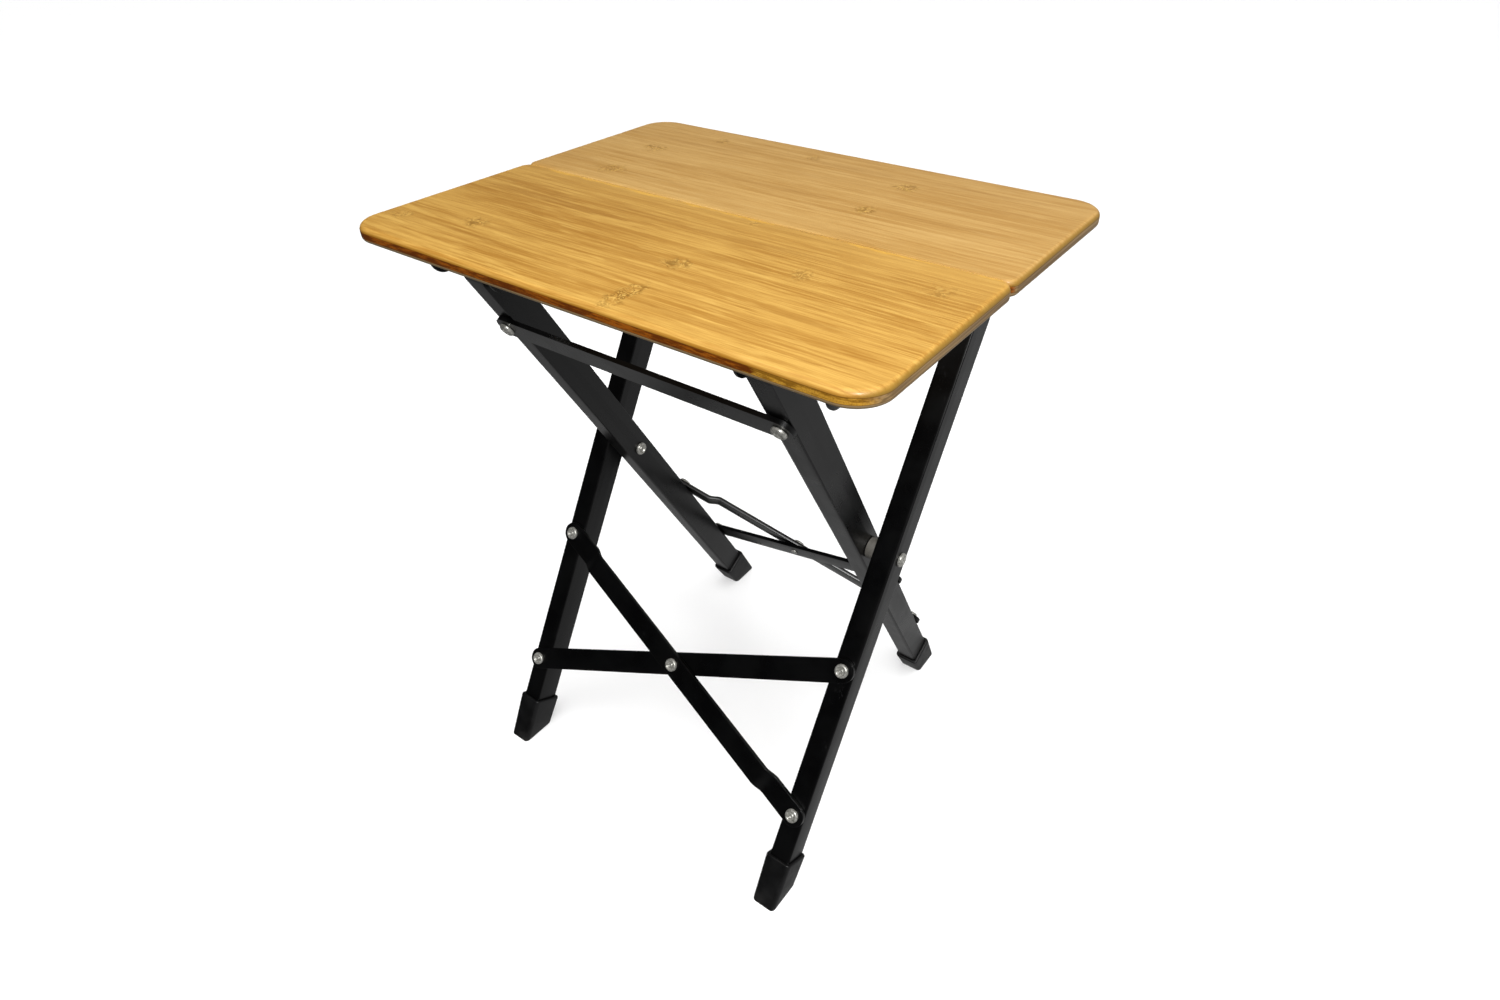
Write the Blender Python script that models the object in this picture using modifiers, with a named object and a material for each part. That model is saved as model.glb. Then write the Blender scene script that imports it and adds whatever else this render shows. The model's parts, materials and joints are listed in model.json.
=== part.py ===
"""Folding side table: two hinged bamboo planks on a pair of crossed steel leg frames.

Metres, +Z up. +X runs along the planks' grain, -Y is the front, and the origin lies on the
floor under the middle of the top. The outer leg frame stands on its front feet and holds the
back plank; the inner frame stands on its back feet and holds the front plank.

Run with: blender --background --python part.py
"""
import math

import bmesh
import bpy
from mathutils import Matrix, Vector

MM = 0.001

# Table top
TOP_LENGTH = 350 * MM
TOP_DEPTH = 280 * MM
TOP_HEIGHT = 422 * MM
PLANK_THICK = 9 * MM
OUTER_CORNER = 20 * MM
INNER_CORNER = 6 * MM
TOP_ROUND = 3.5 * MM
BOTTOM_ROUND = 2.5 * MM
BUTT_EASE = 0.5 * MM

# Leg frames: a rectangular tube leaning from the vertical, measured from the crossing
LEG_ANGLE = math.radians(30.3)
CROSS_HEIGHT = 221.8 * MM
PIN_DROP = 13.6 * MM
TUBE_WIDTH = 15.5 * MM
TUBE_DEPTH = 21 * MM
TUBE_WALL = 1.5 * MM
TUBE_CORNER = 2 * MM
OUTER_LEG_X = 123.7 * MM
INNER_LEG_X = 101.1 * MM

# Rubber feet
FOOT_HEIGHT = 31 * MM
FOOT_PROUD_TOP = 2.2 * MM
FOOT_PROUD_SOLE = 1.2 * MM
FOOT_CORNER = 2.5 * MM
FOOT_LIP = 0.8 * MM
TUBE_END_ABOVE_SOLE = 10 * MM

# Flat strips and bars riveted across the frames
STRIP_WIDTH = 16.5 * MM
STRIP_THICK = 3 * MM
STRIP_END_DEGREES = (8, 30, 55, 90)
OUTER_BRACE_HIGH = -81.2 * MM
OUTER_BRACE_LOW = -190.2 * MM
INNER_BRACE_HIGH = -88.5 * MM
INNER_BRACE_LOW = -178.5 * MM
JOGGLE_START = 24.5 * MM
JOGGLE_RUN = 10.5 * MM
BAR_ALONG = 166 * MM
BAR_WIDTH = 16.5 * MM
BAR_THICK = 3 * MM
BAR_EDGE = 0.6 * MM

# Rivets, pins and spacers
RIVET_HEAD = 5 * MM
RIVET_HEIGHT = 2.2 * MM
RIVET_DIMPLE = 1.5 * MM
RIVET_DIMPLE_DEPTH = 0.7 * MM
RIVET_SHOULDER = 3.75 * MM
RIVET_SHOULDER_HEIGHT = 1.76 * MM
RIVET_RIM_HEIGHT = 0.66 * MM
RIVET_SHANK = 2.1 * MM
RIVET_TAIL = 3 * MM
RIVET_TAIL_HEIGHT = 1 * MM
PIN_RADIUS = 2.8 * MM
PIN_TAIL = 4.5 * MM
PIN_TAIL_HEIGHT = 1.76 * MM
CROSS_SPACER_RADIUS = 7.5 * MM
PIN_SPACER_RADIUS = 4.6 * MM

# Brackets under the planks
EAR_INNER_X = 86.7 * MM
EAR_OUTER_X = 138.5 * MM
EAR_RADIUS = 10.5 * MM
EAR_ARC = (200, 340)
BRACKET_THICK = 1.8 * MM
BRACKET_BASE = 34 * MM
BRACKET_SCREW = 2.2 * MM

# Butt hinges under the seam
HINGE_X = 88 * MM
HINGE_LENGTH = 40 * MM
HINGE_LEAF = 24 * MM
HINGE_THICK = 1.5 * MM
HINGE_DROP = 2.8 * MM
BARREL_RADIUS = 2.4 * MM
HINGE_PIN = 1.1 * MM
HINGE_SCREW = 1.6 * MM
HINGE_HEAD = 2 * MM
HINGE_HEAD_HEIGHT = 1.2 * MM
HINGE_HEAD_TOP = 1.4 * MM
HINGE_HEAD_EDGE = 1 * MM
HINGE_SCREW_STEP = 13.2 * MM
HINGE_SCREW_Y = 14.88 * MM

# Space kept between neighbouring pieces
GAP = 0.3 * MM

# How finely the shapes are made
MERGE = 0.00001
PAST = 2 * MM
ROUND_STEPS = 14
HOLE_SIDES = 10
HALF_ROUND_STEPS = 8
OUTER_CORNER_STEPS = 9
INNER_CORNER_STEPS = 4
TOP_EDGE_STEPS = 3
BOTTOM_EDGE_STEPS = 2
SMOOTH_ANGLE = math.radians(35)
BEVEL_ANGLE = math.radians(40)
PARALLEL = 0.98

# Worked out from the dimensions above
UNDERSIDE = TOP_HEIGHT - PLANK_THICK
PIN_HEIGHT = UNDERSIDE - PIN_DROP
CROSS_TO_PIN = (PIN_HEIGHT - CROSS_HEIGHT) / math.cos(LEG_ANGLE)
CROSS_TO_FLOOR = CROSS_HEIGHT / math.cos(LEG_ANGLE)
PIN_Y = CROSS_TO_PIN * math.sin(LEG_ANGLE)
HINGE_HEIGHT = UNDERSIDE - HINGE_DROP
TUBE_FACE = TUBE_DEPTH / 2

TURN_Z_TO_X = Matrix.Rotation(math.radians(90), 4, "Y")
TURN_Z_TO_FRONT = Matrix.Rotation(math.radians(90), 4, "X")
TURN_Z_TO_BACK = Matrix.Rotation(math.radians(-90), 4, "X")


# ---------------------------------------------------------------- scene, collections, materials

def clear_scene():
    for existing in list(bpy.data.objects):
        bpy.data.objects.remove(existing, do_unlink=True)


def new_collection(name):
    collection = bpy.data.collections.new(name)
    bpy.context.scene.collection.children.link(collection)
    return collection


def new_material(name, colour, roughness, metallic):
    material = bpy.data.materials.new(name)
    material.use_nodes = True
    shader = material.node_tree.nodes["Principled BSDF"]
    shader.inputs["Base Color"].default_value = (*colour, 1.0)
    shader.inputs["Roughness"].default_value = roughness
    shader.inputs["Metallic"].default_value = metallic
    material.diffuse_color = (*colour, 1.0)
    return material


clear_scene()
PARTS = new_collection("folding_side_table")
CUTTERS = new_collection("cutters")
BAMBOO = new_material("bamboo", (0.56, 0.33, 0.13), 0.32, 0.0)
POWDER = new_material("powder_coat", (0.016, 0.016, 0.017), 0.5, 0.0)
RUBBER = new_material("rubber", (0.035, 0.035, 0.036), 0.7, 0.0)
RIVET_STEEL = new_material("rivet_steel", (0.62, 0.6, 0.56), 0.35, 1.0)
HINGE_STEEL = new_material("hinge_steel", (0.55, 0.55, 0.56), 0.4, 1.0)
SPACER_PLASTIC = new_material("spacer_plastic", (0.33, 0.31, 0.27), 0.5, 0.0)


# ---------------------------------------------------------------- shapes

def add_empty(name, location, turn=0.0):
    """An empty on a joint's axis; turn is about X."""
    empty = bpy.data.objects.new(name, None)
    empty.location = location
    empty.rotation_euler = (turn, 0, 0)
    empty.empty_display_size = 0.02
    PARTS.objects.link(empty)
    return empty


def add_mesh(name, bm, material=None, parent=None, matrix=None):
    """Puts a bmesh in the parts, or with no material in the cutters."""
    bmesh.ops.recalc_face_normals(bm, faces=bm.faces)
    mesh = bpy.data.meshes.new(name)
    bm.to_mesh(mesh)
    bm.free()
    mesh.shade_smooth()
    mesh.set_sharp_from_angle(angle=SMOOTH_ANGLE)
    return add_object(name, mesh, material, parent, matrix)


def add_object(name, mesh, material, parent, matrix):
    piece = bpy.data.objects.new(name, mesh)
    piece.parent = parent
    if matrix is not None:
        piece.matrix_basis = matrix
    if material is None:
        piece.hide_render = True
        piece.display_type = "WIRE"
        CUTTERS.objects.link(piece)
    else:
        mesh.materials.append(material)
        PARTS.objects.link(piece)
    return piece


def at(x, y, z, turn=Matrix.Identity(4)):
    return Matrix.Translation((x, y, z)) @ turn


def block(size):
    bm = bmesh.new()
    bmesh.ops.create_cube(bm, size=1)
    bmesh.ops.scale(bm, vec=size, verts=bm.verts)
    return bm


def round_edges(bm, width, segments, direction):
    """Bevels the edges that run along a direction."""
    along = Vector(direction)
    edges = [e for e in bm.edges
             if abs((e.verts[1].co - e.verts[0].co).normalized().dot(along)) > PARALLEL]
    bmesh.ops.bevel(bm, geom=edges, offset=width, segments=segments, profile=0.5,
                    affect="EDGES")


def rod(radius, length, sides=ROUND_STEPS):
    """A cylinder along Z, centred."""
    bm = bmesh.new()
    bmesh.ops.create_cone(bm, cap_ends=True, segments=sides, radius1=radius,
                          radius2=radius, depth=length)
    return bm


def boolean(piece, cutter, operation="DIFFERENCE"):
    modifier = piece.modifiers.new(cutter.name, "BOOLEAN")
    modifier.operation = operation
    modifier.solver = "EXACT"
    modifier.object = cutter


def drill(piece, radius, length, matrix):
    """Cuts a round hole; the matrix gives its middle and turns Z onto its axis."""
    bm = rod(radius, length, HOLE_SIDES)
    hole = add_mesh(piece.name + "_hole", bm, None, piece.parent, matrix)
    boolean(piece, hole)


def bevel(piece, width, segments):
    modifier = piece.modifiers.new("rounded_edges", "BEVEL")
    modifier.width = width
    modifier.segments = segments
    modifier.limit_method = "ANGLE"
    modifier.angle_limit = BEVEL_ANGLE


def arc(centre, radius, start, end, steps):
    """Points on an arc in degrees, both ends included."""
    points = []
    for step in range(steps + 1):
        angle = math.radians(start + (end - start) * step / steps)
        points.append((centre[0] + radius * math.cos(angle),
                       centre[1] + radius * math.sin(angle)))
    return points


def plate(name, outline, thickness, material=None, parent=None, matrix=None):
    """A flat outline in the XY plane, extruded evenly along Z and made a mesh."""
    curve = bpy.data.curves.new(name, "CURVE")
    curve.dimensions = "2D"
    curve.fill_mode = "BOTH"
    curve.extrude = thickness / 2
    spline = curve.splines.new("POLY")
    spline.points.add(len(outline) - 1)
    for point, (x, y) in zip(spline.points, outline):
        point.co = (x, y, 0, 1)
    spline.use_cyclic_u = True
    sketch = bpy.data.objects.new(name + "_outline", curve)
    CUTTERS.objects.link(sketch)
    evaluated = sketch.evaluated_get(bpy.context.evaluated_depsgraph_get())
    mesh = bpy.data.meshes.new_from_object(evaluated)
    bpy.data.objects.remove(sketch, do_unlink=True)
    bm = bmesh.new()
    bm.from_mesh(mesh)
    bpy.data.meshes.remove(mesh)
    bmesh.ops.remove_doubles(bm, verts=bm.verts, dist=MERGE)
    bmesh.ops.dissolve_limit(bm, angle_limit=math.radians(1), verts=bm.verts, edges=bm.edges)
    return add_mesh(name, bm, material, parent, matrix)


def loft(sections):
    """A solid through rings of points that match one to one, closed at both ends."""
    bm = bmesh.new()
    rings = [[bm.verts.new(point) for point in section] for section in sections]
    for lower, upper in zip(rings, rings[1:]):
        for i in range(len(lower)):
            j = (i + 1) % len(lower)
            bm.faces.new((lower[i], lower[j], upper[j], upper[i]))
    bm.faces.new(reversed(rings[0]))
    bm.faces.new(rings[-1])
    return bm


def turned(name, profile, material, parent, matrix):
    """A profile of radius and height, run down its outer side and turned about Z."""
    mesh = bpy.data.meshes.new(name)
    vertices = [(radius, 0, height) for radius, height in profile]
    edges = [(i, i + 1) for i in range(len(profile) - 1)]
    mesh.from_pydata(vertices, edges, [])
    piece = add_object(name, mesh, material, parent, matrix)
    screw = piece.modifiers.new("turned", "SCREW")
    screw.axis = "Z"
    screw.steps = ROUND_STEPS
    screw.render_steps = ROUND_STEPS
    screw.use_merge_vertices = True
    screw.merge_threshold = MERGE
    screw.use_smooth_shade = True
    return piece


# ---------------------------------------------------------------- joints' empties

back_pin = add_empty("back_plank_axis", (0, PIN_Y, PIN_HEIGHT))
outer_frame = add_empty("outer_legs_frame", (0, PIN_Y, PIN_HEIGHT), -LEG_ANGLE)
front_axis = add_empty("front_plank_axis", (0, 0, HINGE_HEIGHT))
inner_frame = add_empty("inner_legs_axis", (0, -PIN_Y, PIN_HEIGHT), LEG_ANGLE)


def in_frame(x, out, along, turn=Matrix.Identity(4)):
    """A place on a leg frame: out is towards its back face, along is up from the crossing."""
    return at(x, out, along - CROSS_TO_PIN, turn)


def over(parent, x, y, z, turn=Matrix.Identity(4)):
    """A place in table coordinates under an empty that is not turned."""
    return at(x - parent.location.x, y - parent.location.y, z - parent.location.z, turn)


# ---------------------------------------------------------------- table top

def plank_ring(height, inset, butt_inset, side):
    """A plank's outline at one height; the butt edge is eased less than the others."""
    half = TOP_LENGTH / 2 - inset
    near = GAP / 2 + butt_inset
    far = TOP_DEPTH / 2 - inset
    outer = OUTER_CORNER - inset
    inner = INNER_CORNER - butt_inset
    points = arc((half - outer, far - outer), outer, 0, 90, OUTER_CORNER_STEPS)
    points += arc((-half + outer, far - outer), outer, 90, 180, OUTER_CORNER_STEPS)
    points += arc((-half + inner, near + inner), inner, 180, 270, INNER_CORNER_STEPS)
    points += arc((half - inner, near + inner), inner, 270, 360, INNER_CORNER_STEPS)
    return [(x, side * y, height) for x, y in points]


def add_plank(name, parent, side):
    sections = []
    for step in range(BOTTOM_EDGE_STEPS + 1):
        angle = math.radians(90 * step / BOTTOM_EDGE_STEPS)
        drop = BOTTOM_ROUND * (1 - math.sin(angle))
        ease = BUTT_EASE * (1 - math.sin(angle))
        height = UNDERSIDE + BOTTOM_ROUND * (1 - math.cos(angle))
        sections.append(plank_ring(height, drop, ease, side))
    for step in range(TOP_EDGE_STEPS + 1):
        angle = math.radians(90 * step / TOP_EDGE_STEPS)
        drop = TOP_ROUND * (1 - math.cos(angle))
        ease = BUTT_EASE * (1 - math.cos(angle))
        height = TOP_HEIGHT - TOP_ROUND * (1 - math.sin(angle))
        sections.append(plank_ring(height, drop, ease, side))
    bm = loft(sections)
    bmesh.ops.translate(bm, vec=-parent.location, verts=bm.verts)
    add_mesh(name, bm, BAMBOO, parent)


# ---------------------------------------------------------------- legs and feet

def add_leg(name, frame, x, brace_face, brace_holes, bar_holes):
    """A tube with a rounded top, open at both ends, drilled for its pins and rivets."""
    foot_end = CROSS_TO_PIN + CROSS_TO_FLOOR - TUBE_END_ABOVE_SOLE
    outline = arc((0, 0), TUBE_FACE, 0, 180, HALF_ROUND_STEPS)
    outline += [(-TUBE_FACE, -foot_end), (TUBE_FACE, -foot_end)]
    upright = Matrix(((0, 0, 1, x), (1, 0, 0, 0), (0, 1, 0, 0), (0, 0, 0, 1)))
    leg = plate(name, outline, TUBE_WIDTH, POWDER, frame, upright)
    bevel(leg, TUBE_CORNER, 2)
    inside = block((TUBE_WIDTH - 2 * TUBE_WALL, TUBE_DEPTH - 2 * TUBE_WALL,
                    foot_end + 2 * TUBE_DEPTH))
    cavity = add_mesh(name + "_inside", inside, None, frame, at(x, 0, -foot_end / 2))
    boolean(leg, cavity)
    for along in (0, CROSS_TO_PIN):
        drill(leg, PIN_RADIUS + GAP, 2 * TUBE_WIDTH, in_frame(x, 0, along, TURN_Z_TO_X))
    for along in brace_holes:
        drill(leg, RIVET_SHANK + GAP, TUBE_FACE,
              in_frame(x, brace_face * TUBE_FACE, along, TURN_Z_TO_FRONT))
    for along in bar_holes:
        drill(leg, RIVET_SHANK + GAP, TUBE_FACE,
              in_frame(x, -TUBE_FACE, along, TURN_Z_TO_FRONT))


def add_foot(name, frame, x):
    """A rubber boot over the tube's end, its sole cut level with the floor."""
    reach = TUBE_DEPTH
    length = FOOT_HEIGHT + reach
    foot = block((TUBE_WIDTH + 2 * FOOT_PROUD_TOP, TUBE_DEPTH + 2 * FOOT_PROUD_TOP, length))
    share = (TUBE_WIDTH + 2 * FOOT_PROUD_SOLE) / (TUBE_WIDTH + 2 * FOOT_PROUD_TOP)
    for vertex in foot.verts:
        if vertex.co.z < 0:
            vertex.co.x *= share
            vertex.co.y *= share
    round_edges(foot, FOOT_CORNER, 3, (0, 0, 1))
    rim = [e for e in foot.edges if min(v.co.z for v in e.verts) > length / 2 - MERGE]
    bmesh.ops.bevel(foot, geom=rim, offset=FOOT_LIP, segments=2, profile=0.5, affect="EDGES")
    middle = -CROSS_TO_FLOOR + FOOT_HEIGHT - length / 2
    piece = add_mesh(name, foot, RUBBER, frame, in_frame(x, 0, middle))
    pocket = block((TUBE_WIDTH + 2 * GAP, TUBE_DEPTH + 2 * GAP, TUBE_DEPTH * 2))
    round_edges(pocket, TUBE_CORNER, 3, (0, 0, 1))
    pocket_middle = -CROSS_TO_FLOOR + TUBE_END_ABOVE_SOLE - GAP + TUBE_DEPTH
    boolean(piece, add_mesh(name + "_pocket", pocket, None, frame,
                            in_frame(x, 0, pocket_middle)))
    below = block((TUBE_DEPTH * 4, TUBE_DEPTH * 6, TUBE_DEPTH * 2))
    side = -1 if frame is outer_frame else 1
    ground = at(x, side * CROSS_TO_FLOOR * math.sin(LEG_ANGLE), -TUBE_DEPTH)
    boolean(piece, add_mesh(name + "_ground", below, None, None, ground))


# ---------------------------------------------------------------- rivets, strips and bars

def rivet_profile(grip, tail_radius, tail_height, shank):
    """A domed, dimpled head at +Z and a shank through the grip; no tail radius is a plain end."""
    crown = [(0, RIVET_HEIGHT - RIVET_DIMPLE_DEPTH), (RIVET_DIMPLE, RIVET_HEIGHT),
             (RIVET_SHOULDER, RIVET_SHOULDER_HEIGHT), (RIVET_HEAD, RIVET_RIM_HEIGHT),
             (RIVET_HEAD, 0), (shank, 0), (shank, -grip)]
    if not tail_radius:
        return crown + [(0, -grip)]
    tail_end = -grip - tail_height
    return crown + [(tail_radius, -grip), (tail_radius, tail_end), (0, tail_end)]


def add_rivet(name, frame, x, out, along, grip, face):
    """A rivet whose head bears on a face at out; face is -1 for the front and 1 for the back."""
    profile = rivet_profile(grip + 2 * GAP, RIVET_TAIL, RIVET_TAIL_HEIGHT, RIVET_SHANK)
    turn = TURN_Z_TO_FRONT if face < 0 else TURN_Z_TO_BACK
    turned(name, profile, RIVET_STEEL, frame, in_frame(x, out + face * GAP, along, turn))


def strip_sections(length, offset):
    """Rectangular sections along a strip with round ends; offset lifts its middle."""
    radius = STRIP_WIDTH / 2
    stations = []
    for degrees in STRIP_END_DEGREES:
        angle = math.radians(degrees)
        stations.append((-radius * math.cos(angle), radius * math.sin(angle), 0))
    if offset:
        stations += [(JOGGLE_START, radius, 0), (JOGGLE_START + JOGGLE_RUN, radius, offset)]
    mirrored = [(length - place, half, lift) for place, half, lift in reversed(stations)]
    sections = []
    for place, half, lift in stations + mirrored:
        low = lift - STRIP_THICK / 2
        high = lift + STRIP_THICK / 2
        sections.append([(place, -half, low), (place, half, low),
                         (place, half, high), (place, -half, high)])
    return sections


def add_strip(name, frame, face, left, right, joggled):
    """A strip from the left leg to the right one on a frame's face."""
    start = Vector((left[0], 0, left[1]))
    end = Vector((right[0], 0, right[1]))
    run = end - start
    lift = STRIP_THICK + 2 * GAP if joggled else 0
    out = face * (TUBE_FACE + GAP + STRIP_THICK / 2)
    across = Vector((0, face, 0))
    ahead = run.normalized()
    width = across.cross(ahead)
    axes = Matrix((ahead, width, across)).transposed().to_4x4()
    matrix = in_frame(start.x, out, start.z, axes)
    strip = add_mesh(name, loft(strip_sections(run.length, lift)), POWDER, frame, matrix)
    for share in (0, 0.5, 1):
        place = start + run * share
        drill(strip, RIVET_SHANK + GAP, 8 * STRIP_THICK,
              in_frame(place.x, out, place.z, TURN_Z_TO_FRONT))


def add_brace(prefix, frame, face, x, high, low):
    """Two crossed strips, the second joggled over the first, with five rivets."""
    add_strip(prefix + "_straight_strip", frame, face, (-x, low), (x, high), False)
    add_strip(prefix + "_joggled_strip", frame, face, (-x, high), (x, low), True)
    on_strip = face * (TUBE_FACE + GAP + STRIP_THICK)
    for side, side_name in ((-1, "left"), (1, "right")):
        for along, level in ((high, "high"), (low, "low")):
            add_rivet(f"{prefix}_brace_{side_name}_{level}_rivet", frame, side * x, on_strip,
                      along, STRIP_THICK + GAP + TUBE_WALL, face)
    over_both = face * (TUBE_FACE + GAP + STRIP_THICK * 2 + 2 * GAP)
    add_rivet(prefix + "_brace_centre_rivet", frame, 0, over_both, (high + low) / 2,
              STRIP_THICK * 2 + 2 * GAP, face)


def add_cross_bar():
    """The flat bar across the front faces of the inner legs, near their tops."""
    radius = BAR_WIDTH / 2
    outline = arc((INNER_LEG_X, 0), radius, -90, 90, HALF_ROUND_STEPS)
    outline += arc((-INNER_LEG_X, 0), radius, 90, 270, HALF_ROUND_STEPS)
    out = -(TUBE_FACE + GAP + BAR_THICK / 2)
    bar = plate("cross_bar", outline, BAR_THICK, POWDER, inner_frame,
                in_frame(0, out, BAR_ALONG, TURN_Z_TO_FRONT))
    bevel(bar, BAR_EDGE, 2)
    for side, side_name in ((-1, "left"), (1, "right")):
        x = side * INNER_LEG_X
        drill(bar, RIVET_SHANK + GAP, 3 * BAR_THICK,
              in_frame(x, out, BAR_ALONG, TURN_Z_TO_FRONT))
        add_rivet(f"cross_bar_{side_name}_rivet", inner_frame, x, out - BAR_THICK / 2, BAR_ALONG,
                  BAR_THICK + GAP + TUBE_WALL, -1)


# ---------------------------------------------------------------- crossing pivots

def add_crossing(side, side_name):
    """The pivot where the legs cross, in two halves so that the frames can part."""
    inner_face = INNER_LEG_X + TUBE_WIDTH / 2
    outer_face = OUTER_LEG_X - TUBE_WIDTH / 2
    turn = Matrix.Rotation(side * math.radians(90), 4, "Y")
    turn_in = Matrix.Rotation(-side * math.radians(90), 4, "Y")
    head_x = OUTER_LEG_X + TUBE_WIDTH / 2 + GAP
    outer_profile = rivet_profile(head_x - inner_face - GAP, 0, 0, PIN_RADIUS)
    turned(side_name + "_pivot_outer_rivet", outer_profile, RIVET_STEEL, outer_frame,
           in_frame(side * head_x, 0, 0, turn))
    inner_head_x = INNER_LEG_X - TUBE_WIDTH / 2 - GAP
    inner_profile = rivet_profile(inner_face - inner_head_x, 0, 0, PIN_RADIUS)
    turned(side_name + "_pivot_inner_rivet", inner_profile, RIVET_STEEL, inner_frame,
           in_frame(side * inner_head_x, 0, 0, turn_in))
    add_spacer(side_name + "_pivot_spacer", outer_frame, side * (inner_face + GAP),
               side * (outer_face - GAP), CROSS_SPACER_RADIUS,
               lambda x: in_frame(x, 0, 0, TURN_Z_TO_X))


def add_spacer(name, parent, x_from, x_to, radius, place):
    """A plastic ring along X with a hole for the pin."""
    spacer = add_mesh(name, rod(radius, abs(x_to - x_from)), SPACER_PLASTIC, parent,
                      place((x_from + x_to) / 2))
    drill(spacer, PIN_RADIUS + GAP, TUBE_DEPTH + abs(x_to - x_from), spacer.matrix_basis)


# ---------------------------------------------------------------- brackets under the planks

def ear_outline():
    """A tab that hangs from the base plate and ends in an arc round the pin."""
    top = PIN_DROP - GAP
    half = BRACKET_BASE / 2
    return [(half, top), (-half, top), (-half, top - BRACKET_THICK)] \
        + arc((0, 0), EAR_RADIUS, *EAR_ARC, HALF_ROUND_STEPS) + [(half, top - BRACKET_THICK)]


def add_bracket(prefix, parent, side, leg_x, pin_y):
    """A U of sheet steel with its pin and the two spacers that centre the leg on it."""
    middle = side * (EAR_INNER_X + EAR_OUTER_X) / 2
    width = EAR_OUTER_X - EAR_INNER_X + BRACKET_THICK
    top = UNDERSIDE - GAP
    base = block((width, BRACKET_BASE, BRACKET_THICK))
    bracket = add_mesh(prefix + "_bracket", base, POWDER, parent,
                       over(parent, middle, pin_y, top - BRACKET_THICK / 2))
    standing = Matrix(((0, 0, 1, 0), (1, 0, 0, 0), (0, 1, 0, 0), (0, 0, 0, 1)))
    for ear_x in (EAR_INNER_X, EAR_OUTER_X):
        ear = plate(f"{prefix}_ear", ear_outline(), BRACKET_THICK, None, parent,
                    over(parent, side * ear_x, pin_y, PIN_HEIGHT, standing))
        boolean(bracket, ear, "UNION")
    drill(bracket, PIN_RADIUS + GAP, 2 * width, over(parent, middle, pin_y, PIN_HEIGHT, TURN_Z_TO_X))
    for screw_offset in (-width / 4, width / 4):
        drill(bracket, BRACKET_SCREW, 4 * BRACKET_THICK,
              over(parent, middle + screw_offset, pin_y, top))
    half = BRACKET_THICK / 2
    pin_from = EAR_INNER_X - half - GAP
    pin_to = EAR_OUTER_X + half + GAP
    turn = Matrix.Rotation(side * math.radians(90), 4, "Y")
    profile = rivet_profile(pin_to - pin_from, PIN_TAIL, PIN_TAIL_HEIGHT, PIN_RADIUS)
    turned(prefix + "_pin", profile, RIVET_STEEL, parent,
           over(parent, side * pin_to, pin_y, PIN_HEIGHT, turn))

    def place(x):
        return over(parent, x, pin_y, PIN_HEIGHT, TURN_Z_TO_X)

    inner_end = side * (EAR_INNER_X + half + GAP)
    outer_end = side * (EAR_OUTER_X - half - GAP)
    leg_inner = side * (leg_x - TUBE_WIDTH / 2 - GAP)
    leg_outer = side * (leg_x + TUBE_WIDTH / 2 + GAP)
    add_spacer(prefix + "_inner_spacer", parent, inner_end, leg_inner, PIN_SPACER_RADIUS, place)
    add_spacer(prefix + "_outer_spacer", parent, leg_outer, outer_end, PIN_SPACER_RADIUS, place)


# ---------------------------------------------------------------- hinges under the seam

def add_leaf(name, parent, x, side, knuckles):
    """A hinge leaf: a plate, the barrel pieces on the seam and webs between them."""
    edge = BARREL_RADIUS + 2 * GAP
    level = HINGE_HEIGHT + HINGE_DROP - GAP - HINGE_THICK / 2
    size = (HINGE_LENGTH, HINGE_LEAF - edge, HINGE_THICK)
    leaf = add_mesh(name, block(size), HINGE_STEEL, parent,
                    over(parent, x, side * (HINGE_LEAF + edge) / 2, level))
    for start, end in knuckles:
        middle = x + (start + end) / 2
        web = block((end - start, edge + PAST, HINGE_THICK))
        boolean(leaf, add_mesh(name + "_web", web, None, parent,
                               over(parent, middle, side * (edge + PAST) / 2, level)), "UNION")
        barrel = rod(BARREL_RADIUS, end - start)
        boolean(leaf, add_mesh(name + "_barrel", barrel, None, parent,
                               over(parent, middle, 0, HINGE_HEIGHT, TURN_Z_TO_X)), "UNION")
    drill(leaf, HINGE_PIN + GAP, 2 * HINGE_LENGTH, over(parent, x, 0, HINGE_HEIGHT, TURN_Z_TO_X))
    for offset in (-HINGE_SCREW_STEP, 0, HINGE_SCREW_STEP):
        drill(leaf, HINGE_SCREW, 4 * HINGE_THICK,
              over(parent, x + offset, side * HINGE_SCREW_Y, level))


def add_hinge(prefix, x):
    half = HINGE_LENGTH / 2
    third = HINGE_LENGTH / 6
    add_leaf(prefix + "_hinge_back_leaf", back_pin, x, 1,
             ((-half, -third - GAP), (third + GAP, half)))
    add_leaf(prefix + "_hinge_front_leaf", front_axis, x, -1, ((-third, third),))
    head = [(0, half + HINGE_HEAD_HEIGHT), (HINGE_HEAD_TOP, half + HINGE_HEAD_EDGE),
            (HINGE_HEAD, half + GAP), (HINGE_PIN, half + GAP)]
    profile = head + [(radius, -height) for radius, height in reversed(head)]
    turned(prefix + "_hinge_pin", profile, HINGE_STEEL, back_pin,
           over(back_pin, x, 0, HINGE_HEIGHT, TURN_Z_TO_X))


# ---------------------------------------------------------------- assembly

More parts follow.
